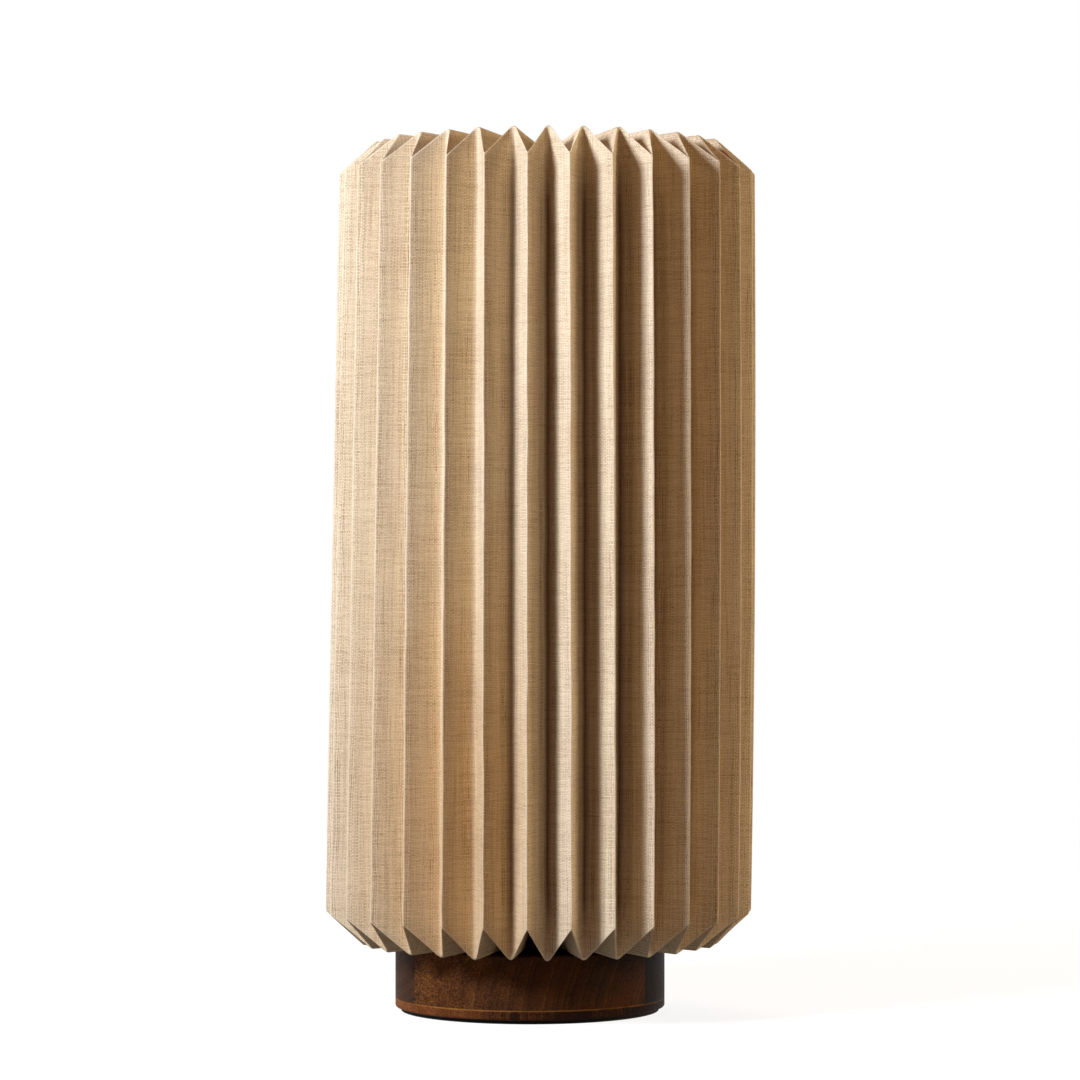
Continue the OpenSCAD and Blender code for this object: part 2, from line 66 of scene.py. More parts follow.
# Each lamp: degrees round to the left of the front, degrees up, distance, size, strength, colour
STUDIO_LAMPS = {
    "key": (48.5, 26.0, 1.15, 0.33, 1.15, (0.93, 1.0, 1.22)),
    "fill": (-85.0, 15.0, 1.6, 0.9, 0.50, (1.0, 0.84, 0.62)),
    "front": (-32.0, 22.0, 2.2, 1.0, 0.04, (1.0, 0.78, 0.54)),
    "back": (168.0, 24.0, 1.9, 1.0, 0.65, (1.0, 0.93, 0.82)),
}
ROOM_LIGHT = 0.11
ROOM_COLOUR = (1.0, 0.33, 0.1, 1)
TABLE_ALBEDO = (0.22, 0.22, 0.22, 1)
TABLE_GLOW = 0.87
TABLE_SIZE = 6.0
TABLE_FADE = (0.35, 1.3)


def add(tree, kind, inputs=(), **options):
    """Adds a node with its options, and sets or links its inputs, given as (socket, value)."""
    made = tree.nodes.new(kind)
    for name, value in options.items():
        setattr(made, name, value)
    for socket, value in inputs:
        if isinstance(value, bpy.types.NodeSocket):
            tree.links.new(value, made.inputs[socket])
        else:
            made.inputs[socket].default_value = value
    return made


def calc(tree, operation, *values):
    """The result of one Math node on the values given, each a number or a socket."""
    return add(tree, "ShaderNodeMath", list(enumerate(values)), operation=operation).outputs[0]


def spread_out(tree, value, low, high, new_low=0.0, new_high=1.0):
    """A value stretched from one range to another and held there."""
    old_range = [("From Min", low), ("From Max", high)]
    new_range = [("To Min", new_low), ("To Max", new_high)]
    made = add(tree, "ShaderNodeMapRange", [("Value", value)] + old_range + new_range)
    return made.outputs[0]


def place_on(tree):
    """Where a point lies in the piece's own frame, in metres."""
    return add(tree, "ShaderNodeTexCoord").outputs["Object"]


def seen_directly(tree):
    """1 for what the camera sees, also in a mirror or through glass, and 0 for light on its way."""
    rays = add(tree, "ShaderNodeLightPath")
    seen = calc(tree, "MAXIMUM", rays.outputs["Is Camera Ray"], rays.outputs["Is Glossy Ray"])
    return calc(tree, "MAXIMUM", seen, rays.outputs["Is Transmission Ray"])


def empty_material(name):
    """A new material with nothing in it but its output, and its node tree."""
    made = bpy.data.materials.new(name)
    made.use_nodes = True
    tree = made.node_tree
    tree.nodes.clear()
    return made, tree, tree.nodes.new("ShaderNodeOutputMaterial")


def mesh_object(name, points, faces, smooth=True):
    """An object made from points and faces."""
    mesh = bpy.data.meshes.new(name)
    mesh.from_pydata([tuple(p) for p in points], [], faces)
    mesh.update()
    mesh.polygons.foreach_set("use_smooth", [smooth] * len(mesh.polygons))
    made = bpy.data.objects.new(name, mesh)
    bpy.context.collection.objects.link(made)
    return made


def white_table():
    """White paper that takes shadows, and fades into the white behind it with distance."""
    made, tree, output = empty_material("white_table")
    away = add(tree, "ShaderNodeVectorMath", [(0, place_on(tree))], operation="LENGTH")
    fade = spread_out(tree, away.outputs["Value"], *TABLE_FADE)
    paper = add(tree, "ShaderNodeBsdfDiffuse", [("Color", TABLE_ALBEDO)])
    glow = add(tree, "ShaderNodeEmission", [("Strength", TABLE_GLOW)])
    lit = add(tree, "ShaderNodeAddShader", [(0, paper.outputs[0]), (1, glow.outputs[0])])
    white = add(tree, "ShaderNodeEmission", [("Strength", 1.0)])
    shaders = [(1, lit.outputs[0]), (2, white.outputs[0])]
    faded = add(tree, "ShaderNodeMixShader", [(0, fade)] + shaders)
    shaders = [(1, paper.outputs[0]), (2, faded.outputs[0])]
    mix = add(tree, "ShaderNodeMixShader", [(0, seen_directly(tree))] + shaders)
    tree.links.new(mix.outputs[0], output.inputs["Surface"])
    return made


half = TABLE_SIZE / 2
table_corners = [(-half, -half, 0), (half, -half, 0), (half, half, 0), (-half, half, 0)]
table = mesh_object("table_top", table_corners, [(0, 1, 2, 3)], smooth=False)
table.data.materials.append(white_table())

world = bpy.data.worlds.new("room")
bpy.context.scene.world = world
world.use_nodes = True
room = world.node_tree
room.nodes.clear()
dim = add(room, "ShaderNodeBackground", [("Color", ROOM_COLOUR), ("Strength", ROOM_LIGHT)])
white = add(room, "ShaderNodeBackground", [("Color", (1, 1, 1, 1)), ("Strength", 1.0)])
backgrounds = [(1, dim.outputs[0]), (2, white.outputs[0])]
mix = add(room, "ShaderNodeMixShader", [(0, seen_directly(room))] + backgrounds)
add(room, "ShaderNodeOutputWorld", [("Surface", mix.outputs[0])])


def studio_lamp(name, turn, rise, distance, size, strength, colour):
    """A round soft lamp, aimed at mid height. The strength is the light that a face there gets."""
    data = bpy.data.lights.new(name, "AREA")
    data.shape = "DISK"
    data.size = size
    data.color = colour
    data.energy = strength * (math.pi * distance) ** 2
    made = bpy.data.objects.new(name, data)
    bpy.context.collection.objects.link(made)
    turn, rise = math.radians(turn), math.radians(rise)
    level = distance * math.cos(rise)
    made.location = (
        -level * math.sin(turn),
        -level * math.cos(turn),
        (cad_box[0][2] + cad_box[1][2]) / 2 + distance * math.sin(rise),
    )
    made.rotation_euler = (math.pi / 2 - rise, 0, -turn)


for lamp_name, lamp_values in STUDIO_LAMPS.items():
    studio_lamp(lamp_name, *lamp_values)

camera_data = bpy.data.cameras.new("camera")
camera_data.lens = LENS
camera_data.sensor_width = SENSOR_WIDTH
camera_data.shift_y = (HORIZON_PX - FRAME_PX / 2) / FRAME_PX
camera = bpy.data.objects.new("camera", camera_data)
camera.location = (CAMERA_X, -CAMERA_DISTANCE, EYE_HEIGHT)
camera.rotation_euler = (math.pi / 2, 0, 0)
bpy.context.collection.objects.link(camera)
bpy.context.scene.camera = camera
bpy.context.scene.view_settings.view_transform = "Standard"

# Felt pad. A disc of pressed black wool felt, glued under the lower layer and a little smaller
# than it, so that only a dark line of it shows over the table.

# Here and below, two to four numbers for a noise are its scale, detail, roughness and distortion.
# A range gives the greys that count and, in two more numbers, what they are stretched to.
FELT_FIBRES = (2600.0, 3.0, 0.7, 1.5)
FELT_TUFTS = (260.0, 3.0)
LINT_RANGE, LINT_SHARE = (0.62, 0.75), 0.35
FELT_ROUGHNESS, FELT_GLOSS = 0.97, 0.1
FELT_SHEEN, FELT_SHEEN_ROUGHNESS = 0.25, 0.6
FELT_RELIEF, FELT_DEPTH = 0.6, 0.3 * MM


def rgb(red, green, blue):
    """A colour as Blender wants it, from screen values of 0 to 255 by the usual screen curve."""
    def linear(value):
        value /= 255
        return value / 12.92 if value <= 0.04045 else ((value + 0.055) / 1.055) ** 2.4
    return (linear(red), linear(green), linear(blue), 1)


def noise(tree, vector, scale, detail=2.0, roughness=0.5, distortion=0.0):
    """The grey value of a noise texture."""
    inputs = [("Vector", vector), ("Scale", scale), ("Detail", detail)]
    inputs += [("Roughness", roughness), ("Distortion", distortion)]
    return add(tree, "ShaderNodeTexNoise", inputs).outputs["Fac"]


def colour_mix(tree, share, first, second):
    """A colour between two, each a colour or a socket. The node takes colours at 6 and 7."""
    made = add(tree, "ShaderNodeMix", [(0, share), (6, first), (7, second)], data_type="RGBA")
    return made.outputs[2]


def surface(tree, output, colour, roughness, relief, strength, depth, **others):
    """A surface of a colour and roughness, with a relief of that strength and depth.

    others are further inputs by name, with _ for a space.
    """
    inputs = [("Height", relief), ("Strength", strength), ("Distance", depth)]
    bump = add(tree, "ShaderNodeBump", inputs)
    inputs = [("Base Color", colour), ("Roughness", roughness), ("Normal", bump.outputs[0])]
    inputs += [(name.replace("_", " "), value) for name, value in others.items()]
    made = add(tree, "ShaderNodeBsdfPrincipled", inputs)
    tree.links.new(made.outputs[0], output.inputs["Surface"])


def cad_finish(material, *names):
    """Gives CAD pieces their finish."""
    for name in names:
        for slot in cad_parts[name].material_slots:
            slot.material = material


def pressed_felt():
    """Short matted fibres, with paler lint here and there."""
    made, tree, output = empty_material("pressed_felt")
    where = place_on(tree)
    fibre = noise(tree, where, *FELT_FIBRES)
    tuft = noise(tree, where, *FELT_TUFTS)
    lint = calc(tree, "MULTIPLY", spread_out(tree, fibre, *LINT_RANGE), LINT_SHARE)
    black, grey, pale = rgb(18, 17, 17), rgb(40, 38, 37), rgb(96, 90, 84)
    colour = colour_mix(tree, lint, colour_mix(tree, tuft, black, grey), pale)
    surface(
        tree, output, colour, FELT_ROUGHNESS, fibre, FELT_RELIEF, FELT_DEPTH,
        Specular_IOR_Level=FELT_GLOSS, Sheen_Weight=FELT_SHEEN, Sheen_Roughness=FELT_SHEEN_ROUGHNESS
    )
    return made


cad_finish(pressed_felt(), "felt_pad")

# Lower layer. A turned disc of oiled walnut with a rounded lower edge and a small knot in front.
# Four countersunk screws under the felt hold it to the upper layer.
GRAIN_STRETCH = 0.05
SWAY, SWAY_BY = (26.0, 2.0), 6 * MM
RIPPLE, RIPPLE_BY = (160.0, 2.0), 0.7 * MM
UNEVEN_YEARS, UNEVEN_BY = (0.55, 1.0), 2.6
YEAR_TONES, YEAR_ROW = (0.83, 0.0), 3.3
STREAKS, STREAK_ROW, STREAKS_A_YEAR = (1.7, 3.0, 0.65), 7.7, 3.1
CLOUDS, PORES, CURLS = (38.0, 3.0, 0.55), (1500.0, 2.0, 0.65, 0.6), (950.0, 2.0, 0.6, 1.8)
# Where painted light makes the wood paler to the left and painted shade darker to the right, and
# how strongly each sort of figure changes its tone
LIT_SIDE_RANGE, SHADED_SIDE_RANGE = (14 * MM, -44 * MM), (5 * MM, 60 * MM)
PAINTED_LIGHT_LEFT, PAINTED_LIGHT_EVENED, PAINTED_SHADE_RIGHT = 0.30, 0.85, -0.2
CLOUD_TONES = (0.30, 0.72, 0.12, 0.60)
LATE_WOOD_POWER, LATE_WOOD_TONE = 3.0, -0.35
STREAK_TONE, PORE_TONE, CURL_TONE = 1.3, 0.9, 3.4
# Thin pale lines between two years, gilt flecks in the curl, and the line of glue
LINE_STARTS, LINE_ENDS = (0.0, 0.05), (0.15, 0.05)
LINE_YEARS, LINE_BREAKS, LINE_BREAK_RANGE = (0.46, 0.60), (330.0, 2.0), (0.36, 0.56)
GILT_CURLS, GILT_CLOUDS, GILT_SHINE = (0.54, 0.66), (0.44, 0.62), 0.9
GLUE_RANGE = (0.45 * MM, 0.15 * MM)
GLUE_PATCHES, GLUE_PATCH_RANGE, GLUE_PAINTED_LIGHT_LEFT = (90.0, 2.0), (0.35, 0.6, 0.05, 0.5), 0.3
PITH_RANGE, PITH_SHARE = (3.0 * MM, 1.2 * MM), 0.7
HOLE_RANGE, HOLE_SHARE = (0.38, 0.28), 0.45
WALNUT_DULLNESS, HOLE_DULLNESS, WALNUT_GLOSS = (0.3, 0.7, 0.52, 0.64), 0.15, 0.05
HOLE_HEIGHT, SEASON_HEIGHT = -0.8, 0.2
WALNUT_RELIEF, WALNUT_DEPTH = 0.3, 0.06 * MM


def joined(tree, *values):
    """A vector joined from up to three values."""
    return add(tree, "ShaderNodeCombineXYZ", list(enumerate(values))).outputs[0]


def around_zero(tree, grey):
    """A grey value of 0 to 1 as one around 0."""
    return calc(tree, "SUBTRACT", grey, 0.5)


def walnut(name, heart, ring, dark, pale, gold, rings, lines, flecks, glue_z, paler=PAINTED_LIGHT_LEFT):
    """Oiled walnut whose grain runs from front to back.

    The growth rings lie around a heart at (x, z), ring apart. rings says how strongly they differ
    in tone, lines how bright the few thin pale ones are, flecks how strongly the figure to the
    left curls, and paler how much painted light lightens the wood to the left. Painted shade
    darkens it to the right. A thin line of glue shows at the height glue_z.
    """
    made, tree, output = empty_material(name)
    where = place_on(tree)
    x, y, z = add(tree, "ShaderNodeSeparateXYZ", [(0, where)]).outputs
    grain = joined(tree, x, calc(tree, "MULTIPLY", y, GRAIN_STRETCH), z)
    sway = around_zero(tree, noise(tree, grain, *SWAY))
    ripple = around_zero(tree, noise(tree, grain, *RIPPLE))
    across = calc(tree, "SUBTRACT", x, heart[0])
    up = calc(tree, "SUBTRACT", z, heart[1])
    square = calc(tree, "MULTIPLY_ADD", across, across, calc(tree, "MULTIPLY", up, up))
    radius = calc(tree, "POWER", square, 0.5)
    radius = calc(tree, "MULTIPLY_ADD", sway, SWAY_BY, radius)
    radius = calc(tree, "MULTIPLY_ADD", ripple, RIPPLE_BY, radius)
    years = calc(tree, "DIVIDE", radius, ring)
    uneven = noise(tree, joined(tree, years), *UNEVEN_YEARS)
    years = calc(tree, "MULTIPLY_ADD", uneven, UNEVEN_BY, years)
    season = calc(tree, "FRACT", years)
    year_tone = noise(tree, joined(tree, calc(tree, "FLOOR", years), YEAR_ROW), *YEAR_TONES)
    finer = joined(tree, calc(tree, "MULTIPLY", years, STREAKS_A_YEAR), STREAK_ROW)
    streak = around_zero(tree, noise(tree, finer, *STREAKS))
    cloud = noise(tree, grain, *CLOUDS)
    pores = noise(tree, grain, *PORES)
    curl = noise(tree, grain, *CURLS)
    # Painted light falls to the left and painted shade to the right; the curly figure with its gilt
    # flecks keeps to the lit left side
    left = spread_out(tree, x, *LIT_SIDE_RANGE)
    right = spread_out(tree, x, *SHADED_SIDE_RANGE)
    curly = calc(tree, "MULTIPLY", left, flecks)

    # Painted light: the wood paler to the left
    tone = calc(tree, "MULTIPLY_ADD", left, paler, spread_out(tree, cloud, *CLOUD_TONES))
    tone = calc(tree, "SUBTRACT", tone, PAINTED_LIGHT_EVENED * (paler - PAINTED_LIGHT_LEFT))
    late_wood = calc(tree, "POWER", season, LATE_WOOD_POWER)
    # Painted shade to the right first, then the wood's own figure
    for figure, strength in (
        (right, PAINTED_SHADE_RIGHT),
        (around_zero(tree, year_tone), rings),
        (late_wood, LATE_WOOD_TONE * rings),
        (streak, STREAK_TONE * rings),
        (around_zero(tree, pores), PORE_TONE),
        (around_zero(tree, curl), calc(tree, "MULTIPLY", curly, CURL_TONE)),
    ):
        tone = calc(tree, "MULTIPLY_ADD", figure, strength, tone)
    tone.node.use_clamp = True
    colour = colour_mix(tree, tone, dark, pale)

    thin = spread_out(tree, season, *LINE_STARTS)
    breaks = noise(tree, grain, *LINE_BREAKS)
    for grey, grey_range in (
        (season, LINE_ENDS), (year_tone, LINE_YEARS), (breaks, LINE_BREAK_RANGE)
    ):
        thin = calc(tree, "MULTIPLY", thin, spread_out(tree, grey, *grey_range))
    gilt = spread_out(tree, curl, *GILT_CURLS)
    gilt = calc(tree, "MULTIPLY", gilt, spread_out(tree, cloud, *GILT_CLOUDS))
    shine = calc(tree, "MULTIPLY", thin, lines)
    shine = calc(tree, "MULTIPLY_ADD", calc(tree, "MULTIPLY", gilt, curly), GILT_SHINE, shine)
    gap = calc(tree, "ABSOLUTE", calc(tree, "SUBTRACT", z, glue_z))
    patchy = spread_out(tree, noise(tree, where, *GLUE_PATCHES), *GLUE_PATCH_RANGE)
    # The glue line shows more on the left, with the painted light
    patchy = calc(tree, "MULTIPLY_ADD", left, GLUE_PAINTED_LIGHT_LEFT, patchy)
    glue = calc(tree, "MULTIPLY", spread_out(tree, gap, *GLUE_RANGE), patchy)
    colour = colour_mix(tree, calc(tree, "MAXIMUM", shine, glue), colour, gold)
    pith = spread_out(tree, radius, *PITH_RANGE)
    colour = colour_mix(tree, calc(tree, "MULTIPLY", pith, PITH_SHARE), colour, dark)
    holes = spread_out(tree, pores, *HOLE_RANGE)
    colour = colour_mix(tree, calc(tree, "MULTIPLY", holes, HOLE_SHARE), colour, dark)

    dull = spread_out(tree, cloud, *WALNUT_DULLNESS)
    dull = calc(tree, "MULTIPLY_ADD", holes, HOLE_DULLNESS, dull)
    relief = calc(tree, "MULTIPLY", season, SEASON_HEIGHT)
    relief = calc(tree, "MULTIPLY_ADD", holes, HOLE_HEIGHT, relief)
    surface(
        tree, output, colour, dull, relief, WALNUT_RELIEF, WALNUT_DEPTH,
        Specular_IOR_Level=WALNUT_GLOSS
    )
    return made


METAL_BRUSHING = (3.0, 0.6)
METAL_STAINS, METAL_STAIN_RANGE, METAL_DULL_RANGE = (55.0, 3.0), (0.35, 0.7, 0.0, 0.6), (0.3, 0.7)
METAL_BRUSH_TONE, METAL_BRUSH_DULLNESS, METAL_DULLER = 0.35, 0.16, 0.08
METAL_RELIEF, METAL_DEPTH = 0.12, 0.05 * MM


def plated(name, colour, stain, roughness, brushed=(1.0, 1.0, 1.0), scale=700.0):
    """Metal with faint brushing or spangle, a few duller stains and fine scratches."""
    made, tree, output = empty_material(name)
    where = place_on(tree)
    drawn = add(tree, "ShaderNodeVectorMath", [(0, where), (1, brushed)], operation="MULTIPLY")
    brush = noise(tree, drawn.outputs[0], scale, *METAL_BRUSHING)
    patch = noise(tree, where, *METAL_STAINS)
    aged = spread_out(tree, patch, *METAL_STAIN_RANGE)
    aged = calc(tree, "MULTIPLY_ADD", brush, METAL_BRUSH_TONE, aged)
    roughnesses = (roughness - METAL_DULLER, roughness + METAL_DULLER)
    dull = spread_out(tree, patch, *METAL_DULL_RANGE, *roughnesses)
    dull = calc(tree, "MULTIPLY_ADD", brush, METAL_BRUSH_DULLNESS, dull)
    colour = colour_mix(tree, aged, colour, stain)
    surface(tree, output, colour, dull, brush, METAL_RELIEF, METAL_DEPTH, Metallic=1.0)
    return made


glue_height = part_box("base_plate")[1][2]
# The lower layer gets stronger painted light to the left than the boards above
plate_walnut = walnut(
    "walnut_lower_layer", heart=(-7.0 * MM, 4.0 * MM), ring=2.6 * MM,
    dark=rgb(26, 10, 4), pale=rgb(136, 78, 38), gold=rgb(170, 106, 48),
    rings=0.28, lines=0.3, flecks=0.5, glue_z=glue_height, paler=0.68
)
cad_finish(plate_walnut, "base_plate")
zinc = plated("zinc_plated_steel", rgb(196, 198, 202), rgb(150, 150, 148), roughness=0.34)
cad_finish(zinc, "plate_screws")

# Upper layer. Three walnut boards glued side by side and turned as one: the end grain faces the
# front, with its rings leaning to the right, and two narrow darker boards close the sides.
# A spigot stands on top inside the shade, and a hollow below takes the ballast and the wiring.
middle_walnut = walnut(
    "walnut_middle_board", heart=(93 * MM, -2 * MM), ring=2.9 * MM,
    dark=rgb(33, 18, 8), pale=rgb(110, 64, 30), gold=rgb(172, 119, 55),
    rings=0.36, lines=0.25, flecks=1.0, glue_z=glue_height
)
left_walnut = walnut(
    "walnut_left_board", heart=(-118 * MM, 70 * MM), ring=1.5 * MM,
    dark=rgb(28, 18, 13), pale=rgb(78, 48, 28), gold=rgb(116, 75, 39),
    rings=1.0, lines=0.2, flecks=0.0, glue_z=glue_height
)
right_walnut = walnut(
    "walnut_right_board", heart=(240 * MM, 10 * MM), ring=2.2 * MM,
    dark=rgb(16, 10, 6), pale=rgb(54, 34, 20), gold=rgb(84, 56, 32),
    rings=0.5, lines=0.15, flecks=0.0, glue_z=glue_height
)
cad_finish(middle_walnut, "middle_board")
cad_finish(left_walnut, "left_edge_board")
cad_finish(right_walnut, "right_edge_board")

# Ballast and clamping. A zinc-plated steel disc weighs the base down in its hollow, and a washer
# and a nut under it pull the whole stem tight.
cad_finish(zinc, "ballast_disc", "lower_washer")

# Gland. A black moulded bush with a collar, pushed from outside into its hole low at the back of
# the base. The mains lead would leave through it.
FLOW_MARKS, FLOW_RANGE, FLOW_DULL_RANGE = (42.0, 2.0), (0.35, 0.7, 0.0, 0.5), (0.3, 0.7)
SAND, SAND_TONE, SAND_DULLNESS, SAND_RELIEF = (2.0, 0.6), 0.3, 0.1, 0.3
MOULDED_SMOOTHER, MOULDED_DULLER, MOULDED_GLOSS = 0.05, 0.06, 0.4


def moulded(name, colour, worn, roughness, grain=900.0, depth=0.03 * MM):
    """Moulded plastic with a fine sand texture, slightly uneven gloss and paler worn patches."""
    made, tree, output = empty_material(name)
    where = place_on(tree)
    sand = noise(tree, where, grain, *SAND)
    flow = noise(tree, where, *FLOW_MARKS)
    tone = calc(tree, "MULTIPLY_ADD", sand, SAND_TONE, spread_out(tree, flow, *FLOW_RANGE))
    roughnesses = (roughness - MOULDED_SMOOTHER, roughness + MOULDED_DULLER)
    dull = spread_out(tree, flow, *FLOW_DULL_RANGE, *roughnesses)
    dull = calc(tree, "MULTIPLY_ADD", sand, SAND_DULLNESS, dull)
    colour = colour_mix(tree, tone, colour, worn)
    surface(tree, output, colour, dull, sand, SAND_RELIEF, depth, Specular_IOR_Level=MOULDED_GLOSS)
    return made


black_plastic = moulded("black_moulding", rgb(26, 25, 25), rgb(44, 43, 42), roughness=0.42)
cad_finish(black_plastic, "cord_gland")

# Terminal block and wires. A white block with four clamp screws hangs under the ballast, and from
# it a brown and a blue conductor run up through the tube to the lampholder.
white_plastic = moulded("white_moulding", rgb(232, 231, 226), rgb(214, 211, 203), roughness=0.38)
cad_finish(white_plastic, "terminal_block")
cad_finish(zinc, "terminal_screws", "block_screw")
INSULATION = {"roughness": 0.34, "grain": 500.0, "depth": 0.02 * MM}
brown = moulded("brown_insulation", rgb(104, 62, 36), rgb(128, 82, 52), **INSULATION)
blue = moulded("blue_insulation", rgb(42, 92, 160), rgb(66, 116, 178), **INSULATION)
cad_finish(brown, "live_wire")
cad_finish(blue, "neutral_wire")

# Stem. A threaded steel tube ties base, column and lampholder together. Over it stand a satin
# brass column and its foot washer, and a brass nut holds the tube under the ballast.
satin_brass = plated(
    "satin_brass", rgb(214, 176, 104), rgb(168, 128, 66), roughness=0.30,
    brushed=(1.0, 1.0, 0.03), scale=2600.0
)
turned_brass = plated(
    "turned_brass", rgb(214, 176, 104), rgb(172, 132, 70), roughness=0.28,
    brushed=(0.12, 0.12, 1.0), scale=1800.0
)
threaded_steel = plated(
    "threaded_steel", rgb(186, 188, 192), rgb(138, 138, 138), roughness=0.36,
    brushed=(0.2, 0.2, 1.0), scale=1000.0
)
cad_finish(threaded_steel, "threaded_tube")
cad_finish(satin_brass, "column")
cad_finish(turned_brass, "foot_washer", "lower_nut")

# Lampholder. Black moulded cap and skirt around a white insert, which carries the brass contacts,
# their clamp screws and the shell for the bulb's 27 mm thread.
cad_finish(black_plastic, "holder_cap", "holder_skirt")
cad_finish(white_plastic, "holder_insert")
cad_finish(turned_brass, "holder_screws", "screw_shell", "centre_contact", "side_contact")

# Bulb. A frosted globe on a white housing that cools it, a rolled screw cap and a brass tip in a
# black insulator. Inside are the upright driver board and the round board with eight LEDs.
THREAD_PITCH = 3.629 * MM
THREAD_DEPTH = 0.85 * MM
CAP_SHEET, CAP_SPARE = 0.4 * MM, 0.1 * MM
THREAD_RUN_IN, THREAD_RUN_OUT, PLAIN_COLLAR = 1.2 * MM, 1.4 * MM, 4.2 * MM
CAP_ROUNDED, CAP_DRAWN_IN = 1.5 * MM, 0.8 * MM
CAP_COLUMNS, CAP_ROWS = 96, 110
TRACK_WAY, TRACK_SCALE, TRACK_WIDTH, TRACK_SHARE = (1.0, 0.0, 0.0), 160.0, 0.03, 0.5
GLASS_WEAVE, BOARD_ROUGHNESS, BOARD_RELIEF, BOARD_DEPTH = 1500.0, 0.35, 0.2, 0.02 * MM


def rolled_cap():
    """The bulb's screw cap: thin metal rolled into a right-handed thread, plain at both ends."""
    low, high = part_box("bulb_cap")
    crest = (high[0] - low[0]) / 2
    height = high[2] - low[2]
    points = []
    for skin in (0.0, CAP_SHEET):
        for row in range(CAP_ROWS):
            z = height * row / (CAP_ROWS - 1)
            run_out = max(0.0, (height - PLAIN_COLLAR - z) / THREAD_RUN_OUT)
            fade = min(1.0, z / THREAD_RUN_IN, run_out)
            for column in range(CAP_COLUMNS):
                turn = 2 * math.pi * column / CAP_COLUMNS
                wave = 0.5 - 0.5 * math.cos(2 * math.pi * z / THREAD_PITCH - turn)
                radius = crest - CAP_SPARE - skin - THREAD_DEPTH * wave * fade
                if z < CAP_ROUNDED:
                    radius -= CAP_DRAWN_IN * (1 - z / CAP_ROUNDED) ** 2
                points.append((radius * math.cos(turn), radius * math.sin(turn), low[2] + z))
    inside = CAP_ROWS * CAP_COLUMNS
    faces = []
    for column in range(CAP_COLUMNS):
        beside = (column + 1) % CAP_COLUMNS
        for row in range(CAP_ROWS - 1):
            a, b = row * CAP_COLUMNS + column, row * CAP_COLUMNS + beside
            c, d = b + CAP_COLUMNS, a + CAP_COLUMNS
            faces.append((a, b, c, d))
            faces.append((a + inside, d + inside, c + inside, b + inside))
        last = (CAP_ROWS - 1) * CAP_COLUMNS
        faces.append((column, column + inside, beside + inside, beside))
        faces.append((last + column, last + beside, last + beside + inside, last + column + inside))
    return mesh_object("bulb_screw_cap", points, faces)


def green_board():
    """Glass-filled board with lighter copper tracks under green lacquer."""
    made, tree, output = empty_material("green_board")
    where = place_on(tree)
    inputs = [(0, where), (1, TRACK_WAY)]
    level = add(tree, "ShaderNodeVectorMath", inputs, operation="MULTIPLY_ADD")
    inputs = [("Vector", level.outputs[0]), ("Scale", TRACK_SCALE), ("Mortar Size", TRACK_WIDTH)]
    tracks = add(tree, "ShaderNodeTexBrick", inputs).outputs["Fac"]
    weave = noise(tree, where, GLASS_WEAVE)
    colour = colour_mix(tree, weave, rgb(24, 92, 56), rgb(34, 112, 68))
    colour = colour_mix(tree, calc(tree, "MULTIPLY", tracks, TRACK_SHARE), colour, rgb(88, 160, 96))
    surface(tree, output, colour, BOARD_ROUGHNESS, weave, BOARD_RELIEF, BOARD_DEPTH)
    return made


bulb_cap = rolled_cap()
nickel = plated("nickel_plated_cap", rgb(206, 205, 202), rgb(168, 164, 156), roughness=0.24)
bulb_cap.data.materials.append(nickel)
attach(bulb_cap, "bulb")
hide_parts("bulb_cap")
cad_finish(turned_brass, "bulb_contact")
cad_finish(black_plastic, "bulb_insulator")
cad_finish(white_plastic, "bulb_housing")
cad_finish(green_board(), "driver_board")
white_board = moulded(
    "white_lacquered_board", rgb(236, 236, 234), rgb(222, 221, 216), roughness=0.30,
    grain=400.0, depth=0.02 * MM
)
phosphor = moulded(
    "phosphor", rgb(238, 206, 96), rgb(226, 184, 70), roughness=0.25,
    grain=1800.0, depth=0.02 * MM
)
opal = moulded(
    "opal_globe", rgb(244, 243, 238), rgb(234, 232, 225), roughness=0.32,
    grain=2400.0, depth=0.01 * MM
)
cad_finish(white_board, "led_board")
cad_finish(phosphor, "led_chips")
cad_finish(opal, "bulb_globe")

# Wire rings. Two hoops of brass-coated wire lie in the collars of the shade and keep them round.
# The lower one stands around the spigot of the base.
ring_wire = plated(
    "ring_wire", rgb(206, 170, 102), rgb(150, 116, 66), roughness=0.33, scale=900.0
)
cad_finish(ring_wire, "bottom_ring", "top_ring")

# Linen shade. One sheet of natural linen on a stiff backing, scored and folded by hand into
# thirty-two pleats. Near each end a zigzag score turns the pleats inside out, so that they run
# inwards as a flat pleated collar. It stands loose on the base, leaning a little.
PLEATS = 32
RIDGE_TOP = 104.3 * MM
RIDGE_BOTTOM = 106.8 * MM
VALLEY_TOP = 85.6 * MM
VALLEY_BOTTOM = 87.4 * MM
FOLD_RISE_TOP = 16.2 * MM
FOLD_RISE_BOTTOM = 17.8 * MM
TIP_SPARE = 1.5 * MM
FOOT_SPARE = 2.4 * MM
COLLAR_DIP = 3.5 * MM
TOP_HOLE = 36.4 * MM
BOTTOM_HOLE = 42.4 * MM
HOLE_RISE = 1.1 * MM
SIT_X = 4.5 * MM
LEAN_X = 4.5 * MM
TWIST = math.radians(2.7)
OPENED_TOP, LOPSIDED_TOP = math.radians(3.9), math.radians(1.1)
OPENED_BOTTOM, LOPSIDED_BOTTOM = math.radians(4.5), math.radians(-1.1)
BARREL = 0.8 * MM
BARREL_TO_RIGHT = 0.6
LINEN_THICKNESS = 0.5 * MM
RIDGE_SOFTNESS = 1.7 * MM
VALLEY_SOFTNESS = 5.0 * MM
